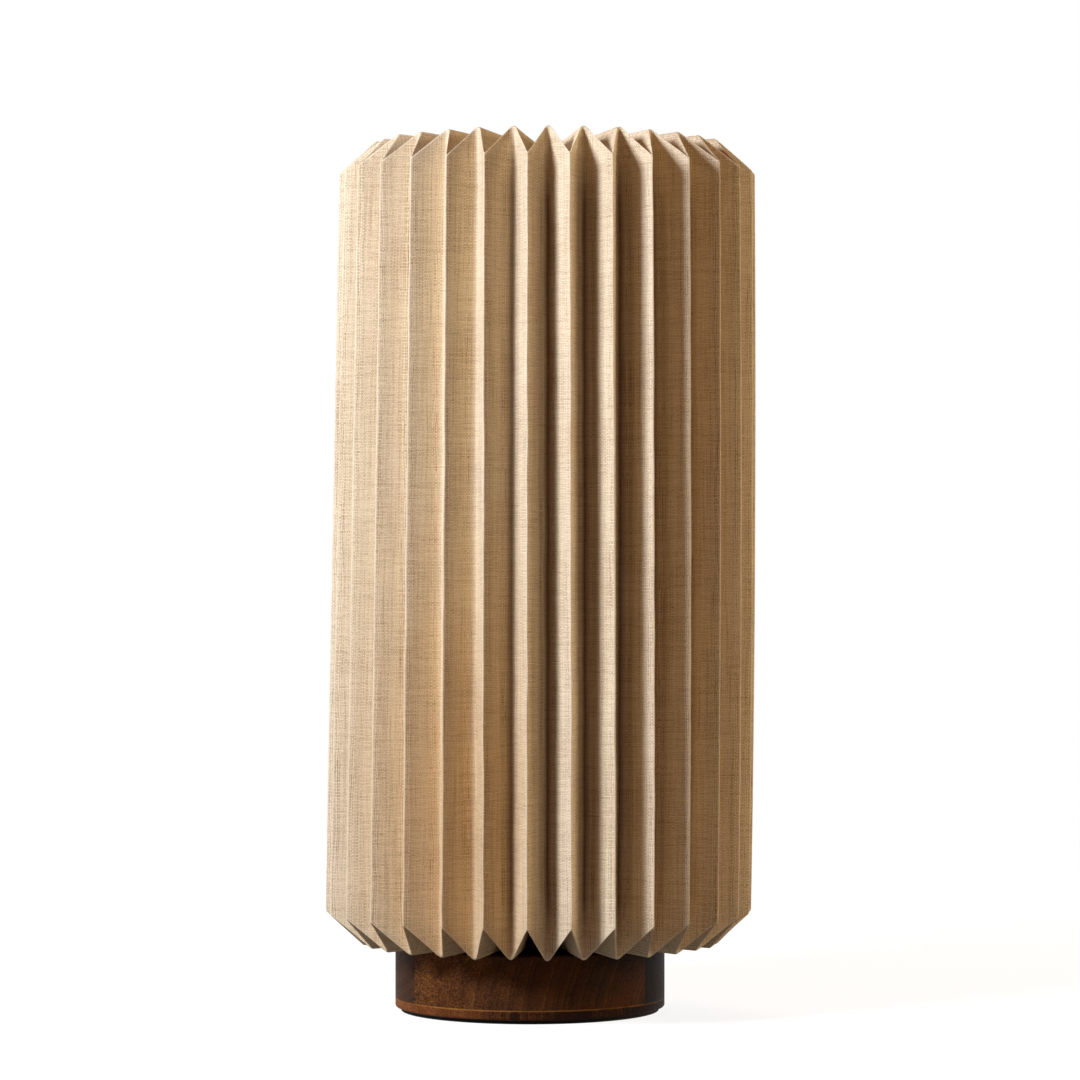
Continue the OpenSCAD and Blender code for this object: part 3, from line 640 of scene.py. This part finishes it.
FOLD_SOFTNESS = 1.8 * MM
SHARPEST = 0.25 * MM
HAND_FOLDED, FOLDS_SEED = 0.3 * MM, 11
HAND_WAVER, WAVER_SEED = 0.16 * MM, 23
PANEL_BOW, BOW_EVEN, BOW_WAVES = 0.3 * MM, 0.5, 5
# Painted shade: the valleys are darker, except on the left, where the key light reaches into them,
# and near the folds, and the left half is darker and browner low down, where the key light falls
# off
VALLEY_SHADE_WITHIN = 0.5
VALLEY_SHADE_FROM_X, VALLEY_SHADE_TO_X = -28 * MM, 2 * MM
VALLEY_SHADE_ENDS = 14
LOW_SHADE_X = np.array([-95, -62, -43, -4, 5]) * MM
LOW_SHADE_SHARE = (0.0, 0.65, 1.0, 0.8, 0.0)
LOW_SHADE_TOP, LOW_SHADE_LOW = 260 * MM, 125 * MM
LOW_SHADE_TINT = (0.93, 0.83, 0.70, 1)
RIDGE_STEPS, VALLEY_STEPS, PANEL_STEPS = 4, 8, 5
COLLAR_STEPS, FOLD_STEPS, BODY_STEPS = 8, 4, 44
THREAD_ACROSS, THREAD_ALONG = 0.74 * MM, 0.79 * MM
# The weave: how far the threads drift, how round they are, and where one crosses over another
DRIFT, DRIFT_BY = (0.02, 2.0), 4.0
THREAD_ROUND, CROSSING_ROUND, CROSSING_RANGE = 0.8, 0.25, (-0.08, 0.08)
ROW_STEP, THREAD_GRAIN = 3.7, (1.0, 2.0, 0.6)
GAP_RANGE, GAP_OPENS = (0.62, 0.12), 0.2
# For each way: how fast the grey changes along a thread, a seed, and from what grey on it counts
WARP_TONE, WARP_TONE_RANGE = (0.008, 5.0), (0.32, 0.68, -0.33, 0.40)
WEFT_TONE, WEFT_TONE_RANGE = (0.03, 71.0), (0.32, 0.68, -0.20, 0.22)
WARP_SLUBS, WARP_SLUB_RANGE = (0.04, 31.0), (0.68, 0.80)
WEFT_SLUBS, WEFT_SLUB_RANGE = (0.06, 157.0), (0.66, 0.80)
WARP_GAPS, WEFT_GAPS = (0.024, 211.0, 0.50), (0.04, 317.0, 0.57)
FIBRES, FIBRE_RANGE = (0.7, 2.0, 0.7), (0.3, 0.7, -0.18, 0.20)
BLEACHED, BLEACHED_RANGE = (0.016, 3.0), (0.35, 0.65, -0.06, 0.08)
SPECKS, SPECK_RANGE = (0.3, 2.0, 0.5), (0.735, 0.79)
# How much darker each makes the linen, from its pale to its dark colour
HOLLOW_TONE, EVEN_TONE, WEFT_SHADE = 0.66, -0.19, 0.17
GAP_SHADE, SLUB_SHADE, SPECK_SHADE, WEAR_HIGHLIGHT_SHADE = 0.50, 0.24, 0.5, -0.22
LINEN_PALE, LINEN_DARK = rgb(240, 221, 182), rgb(140, 98, 52)
# Colour of the worn creases, which also carries a painted highlight
WEAR_HIGHLIGHT_COLOUR, WEAR_HIGHLIGHT_SHARE = rgb(240, 224, 198), 0.25
# Colour and share of the painted shade in the valleys
VALLEY_SHADE_COLOUR, VALLEY_SHADE_SHARE = rgb(84, 41, 6), 0.88
BACKING_COLOUR = rgb(232, 224, 206)
SLUB_HEIGHT, GAP_HEIGHT = 0.5, -0.6
LINEN_ROUGHNESS, LINEN_GLOSS, LINEN_RELIEF, LINEN_DEPTH = 0.95, 0.16, 0.35, 0.14 * MM
LAP_PLEAT = 16
LAP_LIFT, LAP_GLUE = 0.5 * MM, 0.02 * MM
LAP_CLOTH_FROM = 0.31

shade_low, shade_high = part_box("shade_fabric")
foot = shade_low[2] - FOOT_SPARE
top = shade_high[2] + TIP_SPARE
half_pitch = math.pi / PLEATS
panel = math.hypot(RIDGE_TOP - VALLEY_TOP * math.cos(half_pitch), VALLEY_TOP * math.sin(half_pitch))


def collar_height(radius):
    """How far the folds of a collar rise at a radius, where each panel keeps its full width."""
    return math.sqrt(panel**2 - (radius * math.sin(half_pitch)) ** 2)


def crease_profiles():
    """Radius and height of a valley and of a ridge at both holes and both folds, from the top."""
    spread = (collar_height(TOP_HOLE) - FOLD_RISE_TOP) / 2
    valley = [
        (TOP_HOLE, top - COLLAR_DIP + spread),
        (VALLEY_TOP, top),
        (VALLEY_BOTTOM, foot),
        (BOTTOM_HOLE, foot + HOLE_RISE),
    ]
    ridge = [
        (TOP_HOLE, top - FOLD_RISE_TOP - COLLAR_DIP - spread),
        (RIDGE_TOP, top - FOLD_RISE_TOP),
        (RIDGE_BOTTOM, foot + FOLD_RISE_BOTTOM),
        (BOTTOM_HOLE, foot + HOLE_RISE + collar_height(BOTTOM_HOLE)),
    ]
    return np.array([valley, ridge])


def pleat_turn(turn, low):
    """Where a crease stands around the shade, whose pleats are a little wider at the sides."""
    opened, lopsided = (OPENED_BOTTOM, LOPSIDED_BOTTOM) if low else (OPENED_TOP, LOPSIDED_TOP)
    uneven = turn + opened * math.sin(turn) ** 3 + lopsided * math.sin(turn) ** 2
    return uneven + (TWIST if low else 0)


def crease_points(inwards):
    """The four points of every crease, shifted inwards by a part of the linen's thickness."""
    hand = np.random.RandomState(FOLDS_SEED)
    profiles = crease_profiles()
    points = np.zeros((2 * PLEATS, 4, 3))
    for i in range(2 * PLEATS):
        slip = hand.normal(0, HAND_FOLDED, (2, 3))
        for k in range(4):
            radius, height = profiles[i % 2][k]
            if k == 1:
                radius += slip[0][0]
                height -= abs(slip[0][1])
            if k == 2:
                radius += slip[1][0]
                height += abs(slip[1][1])
            turn = pleat_turn(i * half_pitch, k >= 2) - math.pi / 2 + slip[k // 2][2] / RIDGE_TOP
            middle_radius = (profiles[0][k][0] + profiles[1][k][0]) / 2
            if inwards:
                height += inwards * panel / (radius * math.sin(half_pitch)) * (-1 if k < 2 else 1)
                if k in (1, 2):
                    radius -= inwards * panel / (middle_radius * math.sin(half_pitch))
            lean = SIT_X + LEAN_X * (height - foot) / (top - foot)
            points[i, k] = (lean + radius * math.cos(turn), radius * math.sin(turn), height)
    return points


def soft_corner(before, corner, after, reach, steps):
    """Points on a curve that cuts a corner, starting and ending reach away from it."""
    start = before - corner
    end = after - corner
    start = corner + start * (reach / np.linalg.norm(start, axis=-1, keepdims=True))
    end = corner + end * (reach / np.linalg.norm(end, axis=-1, keepdims=True))
    share = np.linspace(0, 1, steps + 1)
    share = share.reshape((-1,) + (1,) * corner.ndim)
    return start * (1 - share) ** 2 + corner * 2 * share * (1 - share) + end * share**2


def between(start, end, steps):
    """Points strictly between two ends."""
    share = np.linspace(0, 1, steps + 2)[1:-1]
    share = share.reshape((-1,) + (1,) * start.ndim)
    return start * (1 - share) + end * share


def crease_lines(points, fold_reach, waver):
    """Every crease as a line of points from the upper hole over both folds to the lower hole."""
    top_hole, top_fold, low_fold, low_hole = (points[:, k] for k in range(4))
    top_bend = soft_corner(top_hole, top_fold, low_fold, fold_reach, FOLD_STEPS)
    low_bend = soft_corner(top_fold, low_fold, low_hole, fold_reach, FOLD_STEPS)
    body = between(top_bend[-1], low_bend[0], BODY_STEPS)
    share = np.linspace(0, 1, BODY_STEPS + 2)[1:-1, None]
    turn = np.arange(2 * PLEATS) * half_pitch - math.pi / 2 + TWIST * share
    swell = BARREL * 4 * share * (1 - share) * (1 + BARREL_TO_RIGHT * np.cos(turn))
    body[..., 0] += swell * np.cos(turn) - waver * np.sin(turn)
    body[..., 1] += swell * np.sin(turn) + waver * np.cos(turn)
    rows = [
        top_hole[None],
        between(top_hole, top_bend[0], COLLAR_STEPS),
        top_bend,
        body,
        low_bend,
        between(low_bend[-1], low_hole, COLLAR_STEPS),
        low_hole[None],
    ]
    return np.concatenate(rows)


def folded_skin(lines, side, bow):
    """Rows of points around the shade, with each crease softened and each panel bowed a little.

    For each column it also gives the place across the sheet, the wear and painted highlight as a
    ridge, and how far off the nearest valley is.
    """
    rows = lines.shape[0]
    before = np.roll(lines, 1, axis=1)
    after = np.roll(lines, -1, axis=1)
    to_before = before - lines
    to_after = after - lines
    cosine = np.sum(to_before * to_after, axis=-1) / (
        np.linalg.norm(to_before, axis=-1) * np.linalg.norm(to_after, axis=-1)
    )
    spread = np.sqrt((1 - cosine) / (1 + cosine))
    columns = []
    marks = []
    for i in range(lines.shape[1]):
        ridge = i % 2 == 1
        reach = RIDGE_SOFTNESS if ridge else VALLEY_SOFTNESS
        # On the inner skin a ridge of the body is tighter and a valley wider, and in the collars
        # the two change places
        level = np.arange(rows)
        in_body = (level > COLLAR_STEPS + 2) & (level < rows - COLLAR_STEPS - 3)
        wider = np.where(in_body, not ridge, ridge)
        change = side / spread[:, i]
        reach_here = np.maximum(SHARPEST, reach + np.where(wider, change, -change))[:, None]
        steps = RIDGE_STEPS if ridge else VALLEY_STEPS
        fold = soft_corner(before[:, i], lines[:, i], after[:, i], reach_here, steps)
        j = (i + 1) % lines.shape[1]
        next_reach = VALLEY_SOFTNESS if ridge else RIDGE_SOFTNESS
        change = side / spread[:, j]
        next_reach = np.maximum(SHARPEST, next_reach + np.where(wider, -change, change))[:, None]
        next_start = soft_corner(lines[:, i], lines[:, j], after[:, j], next_reach, 1)[0]
        straight = between(fold[-1], next_start, PANEL_STEPS)
        along = np.gradient(lines[:, i], axis=0)
        facing = np.cross(lines[:, j] - lines[:, i], along)
        facing /= np.linalg.norm(facing, axis=-1, keepdims=True)
        share = np.linspace(0, 1, PANEL_STEPS + 2)[1:-1]
        bulge = (4 * share * (1 - share))[:, None] * bow[:, i][None]
        straight = straight + bulge[..., None] * facing[None]
        columns.append(fold)
        columns.append(straight)
        for s in np.linspace(-1, 1, steps + 1):
            aside = s * reach / panel
            marks.append((i + aside, (1 - abs(s)) if ridge else 0, 1 if ridge else abs(aside)))
        for s in share:
            marks.append((i + s, 0, (1 - s) if ridge else s))
    return np.concatenate(columns).transpose(1, 0, 2), marks


def linen_mesh(name, outer, inner, closed, across, along, wear_and_highlight, depth, painted_low_shade):
    """A closed skin between two grids of points.

    It carries its flat pattern as texture coordinates, and for every point its wear with a painted
    highlight on the creases, its painted shade in the valleys, its painted shade low on the left,
    and whether it lies on the backing.
    """
    rows, columns = outer.shape[:2]
    points = np.concatenate([outer.reshape(-1, 3), inner.reshape(-1, 3)])
    inside = rows * columns
    faces = []
    for c in range(columns if closed else columns - 1):
        d = (c + 1) % columns
        for r in range(rows - 1):
            a, b = r * columns + c, r * columns + d
            faces.append((a, a + columns, b + columns, b))
            faces.append((a + inside, b + inside, b + columns + inside, a + columns + inside))
        last = (rows - 1) * columns
        faces.append((c, d, d + inside, c + inside))
        faces.append((last + c, last + c + inside, last + d + inside, last + d))
    if not closed:
        for r in range(rows - 1):
            a, b = r * columns, (r + 1) * columns
            faces.append((a, a + inside, b + inside, b))
            a, b = a + columns - 1, b + columns - 1
            faces.append((a, b, b + inside, a + inside))
    made = mesh_object(name, points, faces)
    flat = np.stack([np.broadcast_to(across[None], (rows, columns)), along], axis=-1)
    flat = np.concatenate([flat.reshape(-1, 2)] * 2)
    loop_points = np.zeros(len(made.data.loops), dtype=np.int64)
    made.data.loops.foreach_get("vertex_index", loop_points)
    flat_loops = flat[loop_points]
    if closed:
        # Faces that close the ring continue past the last panel instead of running back
        column_of = (loop_points % inside) % columns
        face_columns = column_of.reshape(-1, 4)
        wraps = (face_columns.max(axis=1) - face_columns.min(axis=1)) > columns / 2
        flat_loops[np.repeat(wraps, 4) & (column_of < columns / 2), 0] += 2 * PLEATS * panel
    layer = made.data.uv_layers.new(name="flat_pattern")
    layer.data.foreach_set("uv", flat_loops.ravel())
    none, whole = np.zeros_like(wear_and_highlight), np.ones_like(wear_and_highlight)
    for label, front, back in (
        ("fold_wear_and_highlight", wear_and_highlight, wear_and_highlight),
        ("painted_valley_shade", depth, none),
        ("painted_low_shade", painted_low_shade, none),
        ("backing", none, whole),
    ):
        attribute = made.data.attributes.new(label, "FLOAT", "POINT")
        attribute.data.foreach_set("value", np.concatenate([front.ravel(), back.ravel()]))
    return made


def natural_linen():
    """Plain weave of uneven threads with open gaps, slubs, a few dark specks, paler worn folds with
    a painted highlight, and painted shade.
    """
    made, tree, output = empty_material("natural_linen")
    flat = add(tree, "ShaderNodeUVMap", uv_map="flat_pattern")
    place = add(tree, "ShaderNodeSeparateXYZ", [(0, flat.outputs[0])])
    across = calc(tree, "DIVIDE", place.outputs[0], THREAD_ACROSS)
    along = calc(tree, "DIVIDE", place.outputs[1], THREAD_ALONG)
    cloth = joined(tree, across, along)
    slow = [("Vector", cloth), ("Scale", DRIFT[0]), ("Detail", DRIFT[1])]
    slow = add(tree, "ShaderNodeTexNoise", slow)
    drift = add(tree, "ShaderNodeSeparateXYZ", [(0, slow.outputs["Color"])])
    warp = calc(tree, "MULTIPLY_ADD", drift.outputs[0], DRIFT_BY, across)
    weft = calc(tree, "MULTIPLY_ADD", drift.outputs[1], DRIFT_BY, along)
    warp_wave = calc(tree, "SINE", calc(tree, "MULTIPLY", warp, math.pi))
    weft_wave = calc(tree, "SINE", calc(tree, "MULTIPLY", weft, math.pi))
    warp_round = calc(tree, "ABSOLUTE", warp_wave)
    weft_round = calc(tree, "ABSOLUTE", weft_wave)
    warp_on_top = spread_out(tree, calc(tree, "MULTIPLY", warp_wave, weft_wave), *CROSSING_RANGE)

    def thread_over(thread, crossed):
        """The height of a thread that passes over another."""
        section = calc(tree, "POWER", thread, THREAD_ROUND)
        return calc(tree, "MULTIPLY", section, calc(tree, "POWER", crossed, CROSSING_ROUND))

    def uppermost(of_warp, of_weft):
        """The warp's value where the warp lies on top, and elsewhere the weft's."""
        inputs = [(0, warp_on_top), (2, of_weft), (3, of_warp)]
        return add(tree, "ShaderNodeMix", inputs).outputs[0]

    def per_thread(thread, length, pace, seed):
        """A grey value that belongs to one thread and changes slowly along it."""
        row = calc(tree, "MULTIPLY_ADD", calc(tree, "FLOOR", thread), ROW_STEP, seed)
        return noise(tree, joined(tree, row, calc(tree, "MULTIPLY", length, pace)), *THREAD_GRAIN)

    def gaps(thread, wave, length, pace, seed, rare):
        """Dark lines where two neighbouring threads stand apart for a while."""
        grey = per_thread(calc(tree, "ADD", thread, 0.5), length, pace, seed)
        apart = spread_out(tree, grey, rare, rare + GAP_OPENS)
        beside = spread_out(tree, calc(tree, "ABSOLUTE", wave), *GAP_RANGE)
        return calc(tree, "MULTIPLY", beside, apart)

    def mark(name):
        """What the mesh says of a point: its wear and painted highlight, its painted valley shade,
        its painted low shade, or that it is backing.
        """
        return add(tree, "ShaderNodeAttribute", attribute_name=name).outputs["Fac"]

    height = uppermost(thread_over(warp_round, weft_round), thread_over(weft_round, warp_round))
    warp_tone = spread_out(tree, per_thread(warp, along, *WARP_TONE), *WARP_TONE_RANGE)
    weft_tone = spread_out(tree, per_thread(weft, across, *WEFT_TONE), *WEFT_TONE_RANGE)
    warp_slub = spread_out(tree, per_thread(warp, along, *WARP_SLUBS), *WARP_SLUB_RANGE)
    weft_slub = spread_out(tree, per_thread(weft, across, *WEFT_SLUBS), *WEFT_SLUB_RANGE)
    slub = calc(tree, "MAXIMUM", warp_slub, weft_slub)
    open_warp = gaps(warp, warp_wave, along, *WARP_GAPS)
    open_weft = gaps(weft, weft_wave, across, *WEFT_GAPS)
    opened = calc(tree, "MAXIMUM", open_warp, open_weft)
    speck = spread_out(tree, noise(tree, cloth, *SPECKS), *SPECK_RANGE)
    worn = mark("fold_wear_and_highlight")

    hollow = calc(tree, "SUBTRACT", 1.0, height)
    weft_on_top = calc(tree, "SUBTRACT", 1.0, warp_on_top)
    shade = calc(tree, "MULTIPLY_ADD", hollow, HOLLOW_TONE, EVEN_TONE)
    for darker, by in (
        (weft_on_top, WEFT_SHADE), (opened, GAP_SHADE), (slub, SLUB_SHADE), (speck, SPECK_SHADE)
    ):
        shade = calc(tree, "MULTIPLY_ADD", darker, by, shade)
    for change in (
        uppermost(warp_tone, weft_tone),
        spread_out(tree, noise(tree, cloth, *FIBRES), *FIBRE_RANGE),
        spread_out(tree, noise(tree, cloth, *BLEACHED), *BLEACHED_RANGE),
    ):
        shade = calc(tree, "ADD", shade, change)
    # Along the creases and folds the linen is paler: wear, and a painted highlight
    shade = calc(tree, "MULTIPLY_ADD", worn, WEAR_HIGHLIGHT_SHADE, shade)
    shade.node.use_clamp = True
    colour = colour_mix(tree, shade, LINEN_PALE, LINEN_DARK)
    colour = colour_mix(tree, calc(tree, "MULTIPLY", worn, WEAR_HIGHLIGHT_SHARE), colour, WEAR_HIGHLIGHT_COLOUR)
    # Painted shade down in the valleys
    valley_shade_amount = calc(tree, "MULTIPLY", mark("painted_valley_shade"), VALLEY_SHADE_SHARE)
    colour = colour_mix(tree, valley_shade_amount, colour, VALLEY_SHADE_COLOUR)
    # Painted shade: the left half darker and browner low down
    inputs = [(0, mark("painted_low_shade")), (6, colour), (7, LOW_SHADE_TINT)]
    colour = add(tree, "ShaderNodeMix", inputs, data_type="RGBA", blend_type="MULTIPLY").outputs[2]
    inside = calc(tree, "GREATER_THAN", mark("backing"), 0.5)
    colour = colour_mix(tree, inside, colour, BACKING_COLOUR)
    relief = calc(tree, "MULTIPLY_ADD", slub, SLUB_HEIGHT, height)
    relief = calc(tree, "MULTIPLY_ADD", opened, GAP_HEIGHT, relief)
    surface(
        tree, output, colour, LINEN_ROUGHNESS, relief, LINEN_RELIEF, LINEN_DEPTH,
        Specular_IOR_Level=LINEN_GLOSS
    )
    return made


bow_hand = np.random.RandomState(WAVER_SEED)
waver = bow_hand.normal(0, HAND_WAVER, (BODY_STEPS + 2, 2 * PLEATS))
waver = (waver[:-2] + 2 * waver[1:-1] + waver[2:]) / 4
outer_lines = crease_lines(crease_points(0), FOLD_SOFTNESS, waver)
inner_lines = crease_lines(crease_points(LINEN_THICKNESS), FOLD_SOFTNESS - LINEN_THICKNESS, waver)
row_count = outer_lines.shape[0]
level = np.linspace(0, 1, row_count)[:, None]
sway = bow_hand.uniform(0, 2 * math.pi, (1, 2 * PLEATS))
bow = PANEL_BOW * (BOW_EVEN + np.sin(level * BOW_WAVES + sway)) * np.sin(np.pi * level)
outer_skin, marks = folded_skin(outer_lines, 0.0, bow)
inner_skin, _ = folded_skin(inner_lines, LINEN_THICKNESS, bow)
column_count = outer_skin.shape[1]
flat_across = np.array([m[0] for m in marks]) * panel
step = np.linalg.norm(np.diff(outer_skin, axis=0), axis=2)
length = np.concatenate([np.zeros((1, column_count)), np.cumsum(step, axis=0)])
anchor = row_count // 2
flat_along = length[anchor] - length + outer_skin[anchor, :, 2] - (foot + top) / 2
# Wear and a painted highlight along the ridges and the zigzag folds
crease_wear_and_highlight = np.array([m[1] for m in marks])[None].repeat(row_count, axis=0)
fold_wear_and_highlight = np.zeros((row_count, column_count))
first_body = COLLAR_STEPS + FOLD_STEPS + 2
for fold_row in (COLLAR_STEPS + 1, row_count - COLLAR_STEPS - 2 - FOLD_STEPS):
    for s in range(FOLD_STEPS + 1):
        fold_wear_and_highlight[fold_row + s] = 1 - abs(2 * s / FOLD_STEPS - 1)
wear_and_highlight = np.maximum(crease_wear_and_highlight, fold_wear_and_highlight)
body_share = (np.arange(row_count)[:, None] - first_body) / BODY_STEPS
# Painted shade in the valleys, strongest at each valley crease, fading out near both folds and
# towards the left
from_valley = np.array([m[2] for m in marks])[None]
depth = np.clip(1 - from_valley / VALLEY_SHADE_WITHIN, 0, 1) ** 2
depth = depth * np.clip(np.minimum(body_share, 1 - body_share) * VALLEY_SHADE_ENDS, 0, 1)
column_x = outer_skin[anchor, :, 0]
depth = depth * np.interp(column_x, (VALLEY_SHADE_FROM_X, VALLEY_SHADE_TO_X), (0, 1))[None]
# Painted shade where the key light falls off: the left half darker and browner low down
painted_low_shade = np.interp(column_x, LOW_SHADE_X, LOW_SHADE_SHARE)[None]
low_shade_fade = (LOW_SHADE_TOP - outer_skin[..., 2]) / (LOW_SHADE_TOP - LOW_SHADE_LOW)
painted_low_shade = painted_low_shade * np.clip(low_shade_fade, 0, 1)
linen_shade = linen_mesh(
    "linen_shade", outer_skin, inner_skin, True, flat_across, flat_along, wear_and_highlight, depth, painted_low_shade
)
linen = natural_linen()
linen_shade.data.materials.append(linen)
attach(linen_shade, "shade")
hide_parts("shade_fabric")

# The two ends of the sheet are glued over each other on one panel at the back, from a valley to
# past the middle of the panel, where the cut edge shows.
pleat_columns = RIDGE_STEPS + VALLEY_STEPS + 2 + 2 * PANEL_STEPS
lap_first = LAP_PLEAT * pleat_columns + VALLEY_STEPS // 2 + 1
lap = slice(lap_first, lap_first + VALLEY_STEPS // 2 + PANEL_STEPS - 1)
down = np.gradient(outer_skin, axis=0)[:, lap]
sideways = np.gradient(outer_skin, axis=1)[:, lap]
facing = np.cross(sideways, down)
facing /= np.linalg.norm(facing, axis=-1, keepdims=True)
outward = outer_skin[anchor, lap][0] * (1, 1, 0)
facing *= np.sign(np.sum(facing[anchor, 0] * outward))
lap_rows = slice(COLLAR_STEPS, row_count - COLLAR_STEPS)
under = outer_skin[lap_rows, lap] + LAP_GLUE * facing[lap_rows]
over = outer_skin[lap_rows, lap] + LAP_LIFT * facing[lap_rows]
winding = np.cross(over[0, 1] - over[0, 0], over[1, 0] - over[0, 0])
turned = slice(None, None, -1 if winding @ facing[COLLAR_STEPS, 0] > 0 else 1)
over, under = over[:, turned], under[:, turned]
lap_across = flat_across[lap][turned] + LAP_CLOTH_FROM
lap_grids = [grid[lap_rows, lap][:, turned] for grid in (flat_along, wear_and_highlight, depth, painted_low_shade)]
linen_lap = linen_mesh("linen_lap", over, under, False, lap_across, *lap_grids)
linen_lap.data.materials.append(linen)
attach(linen_lap, "shade")
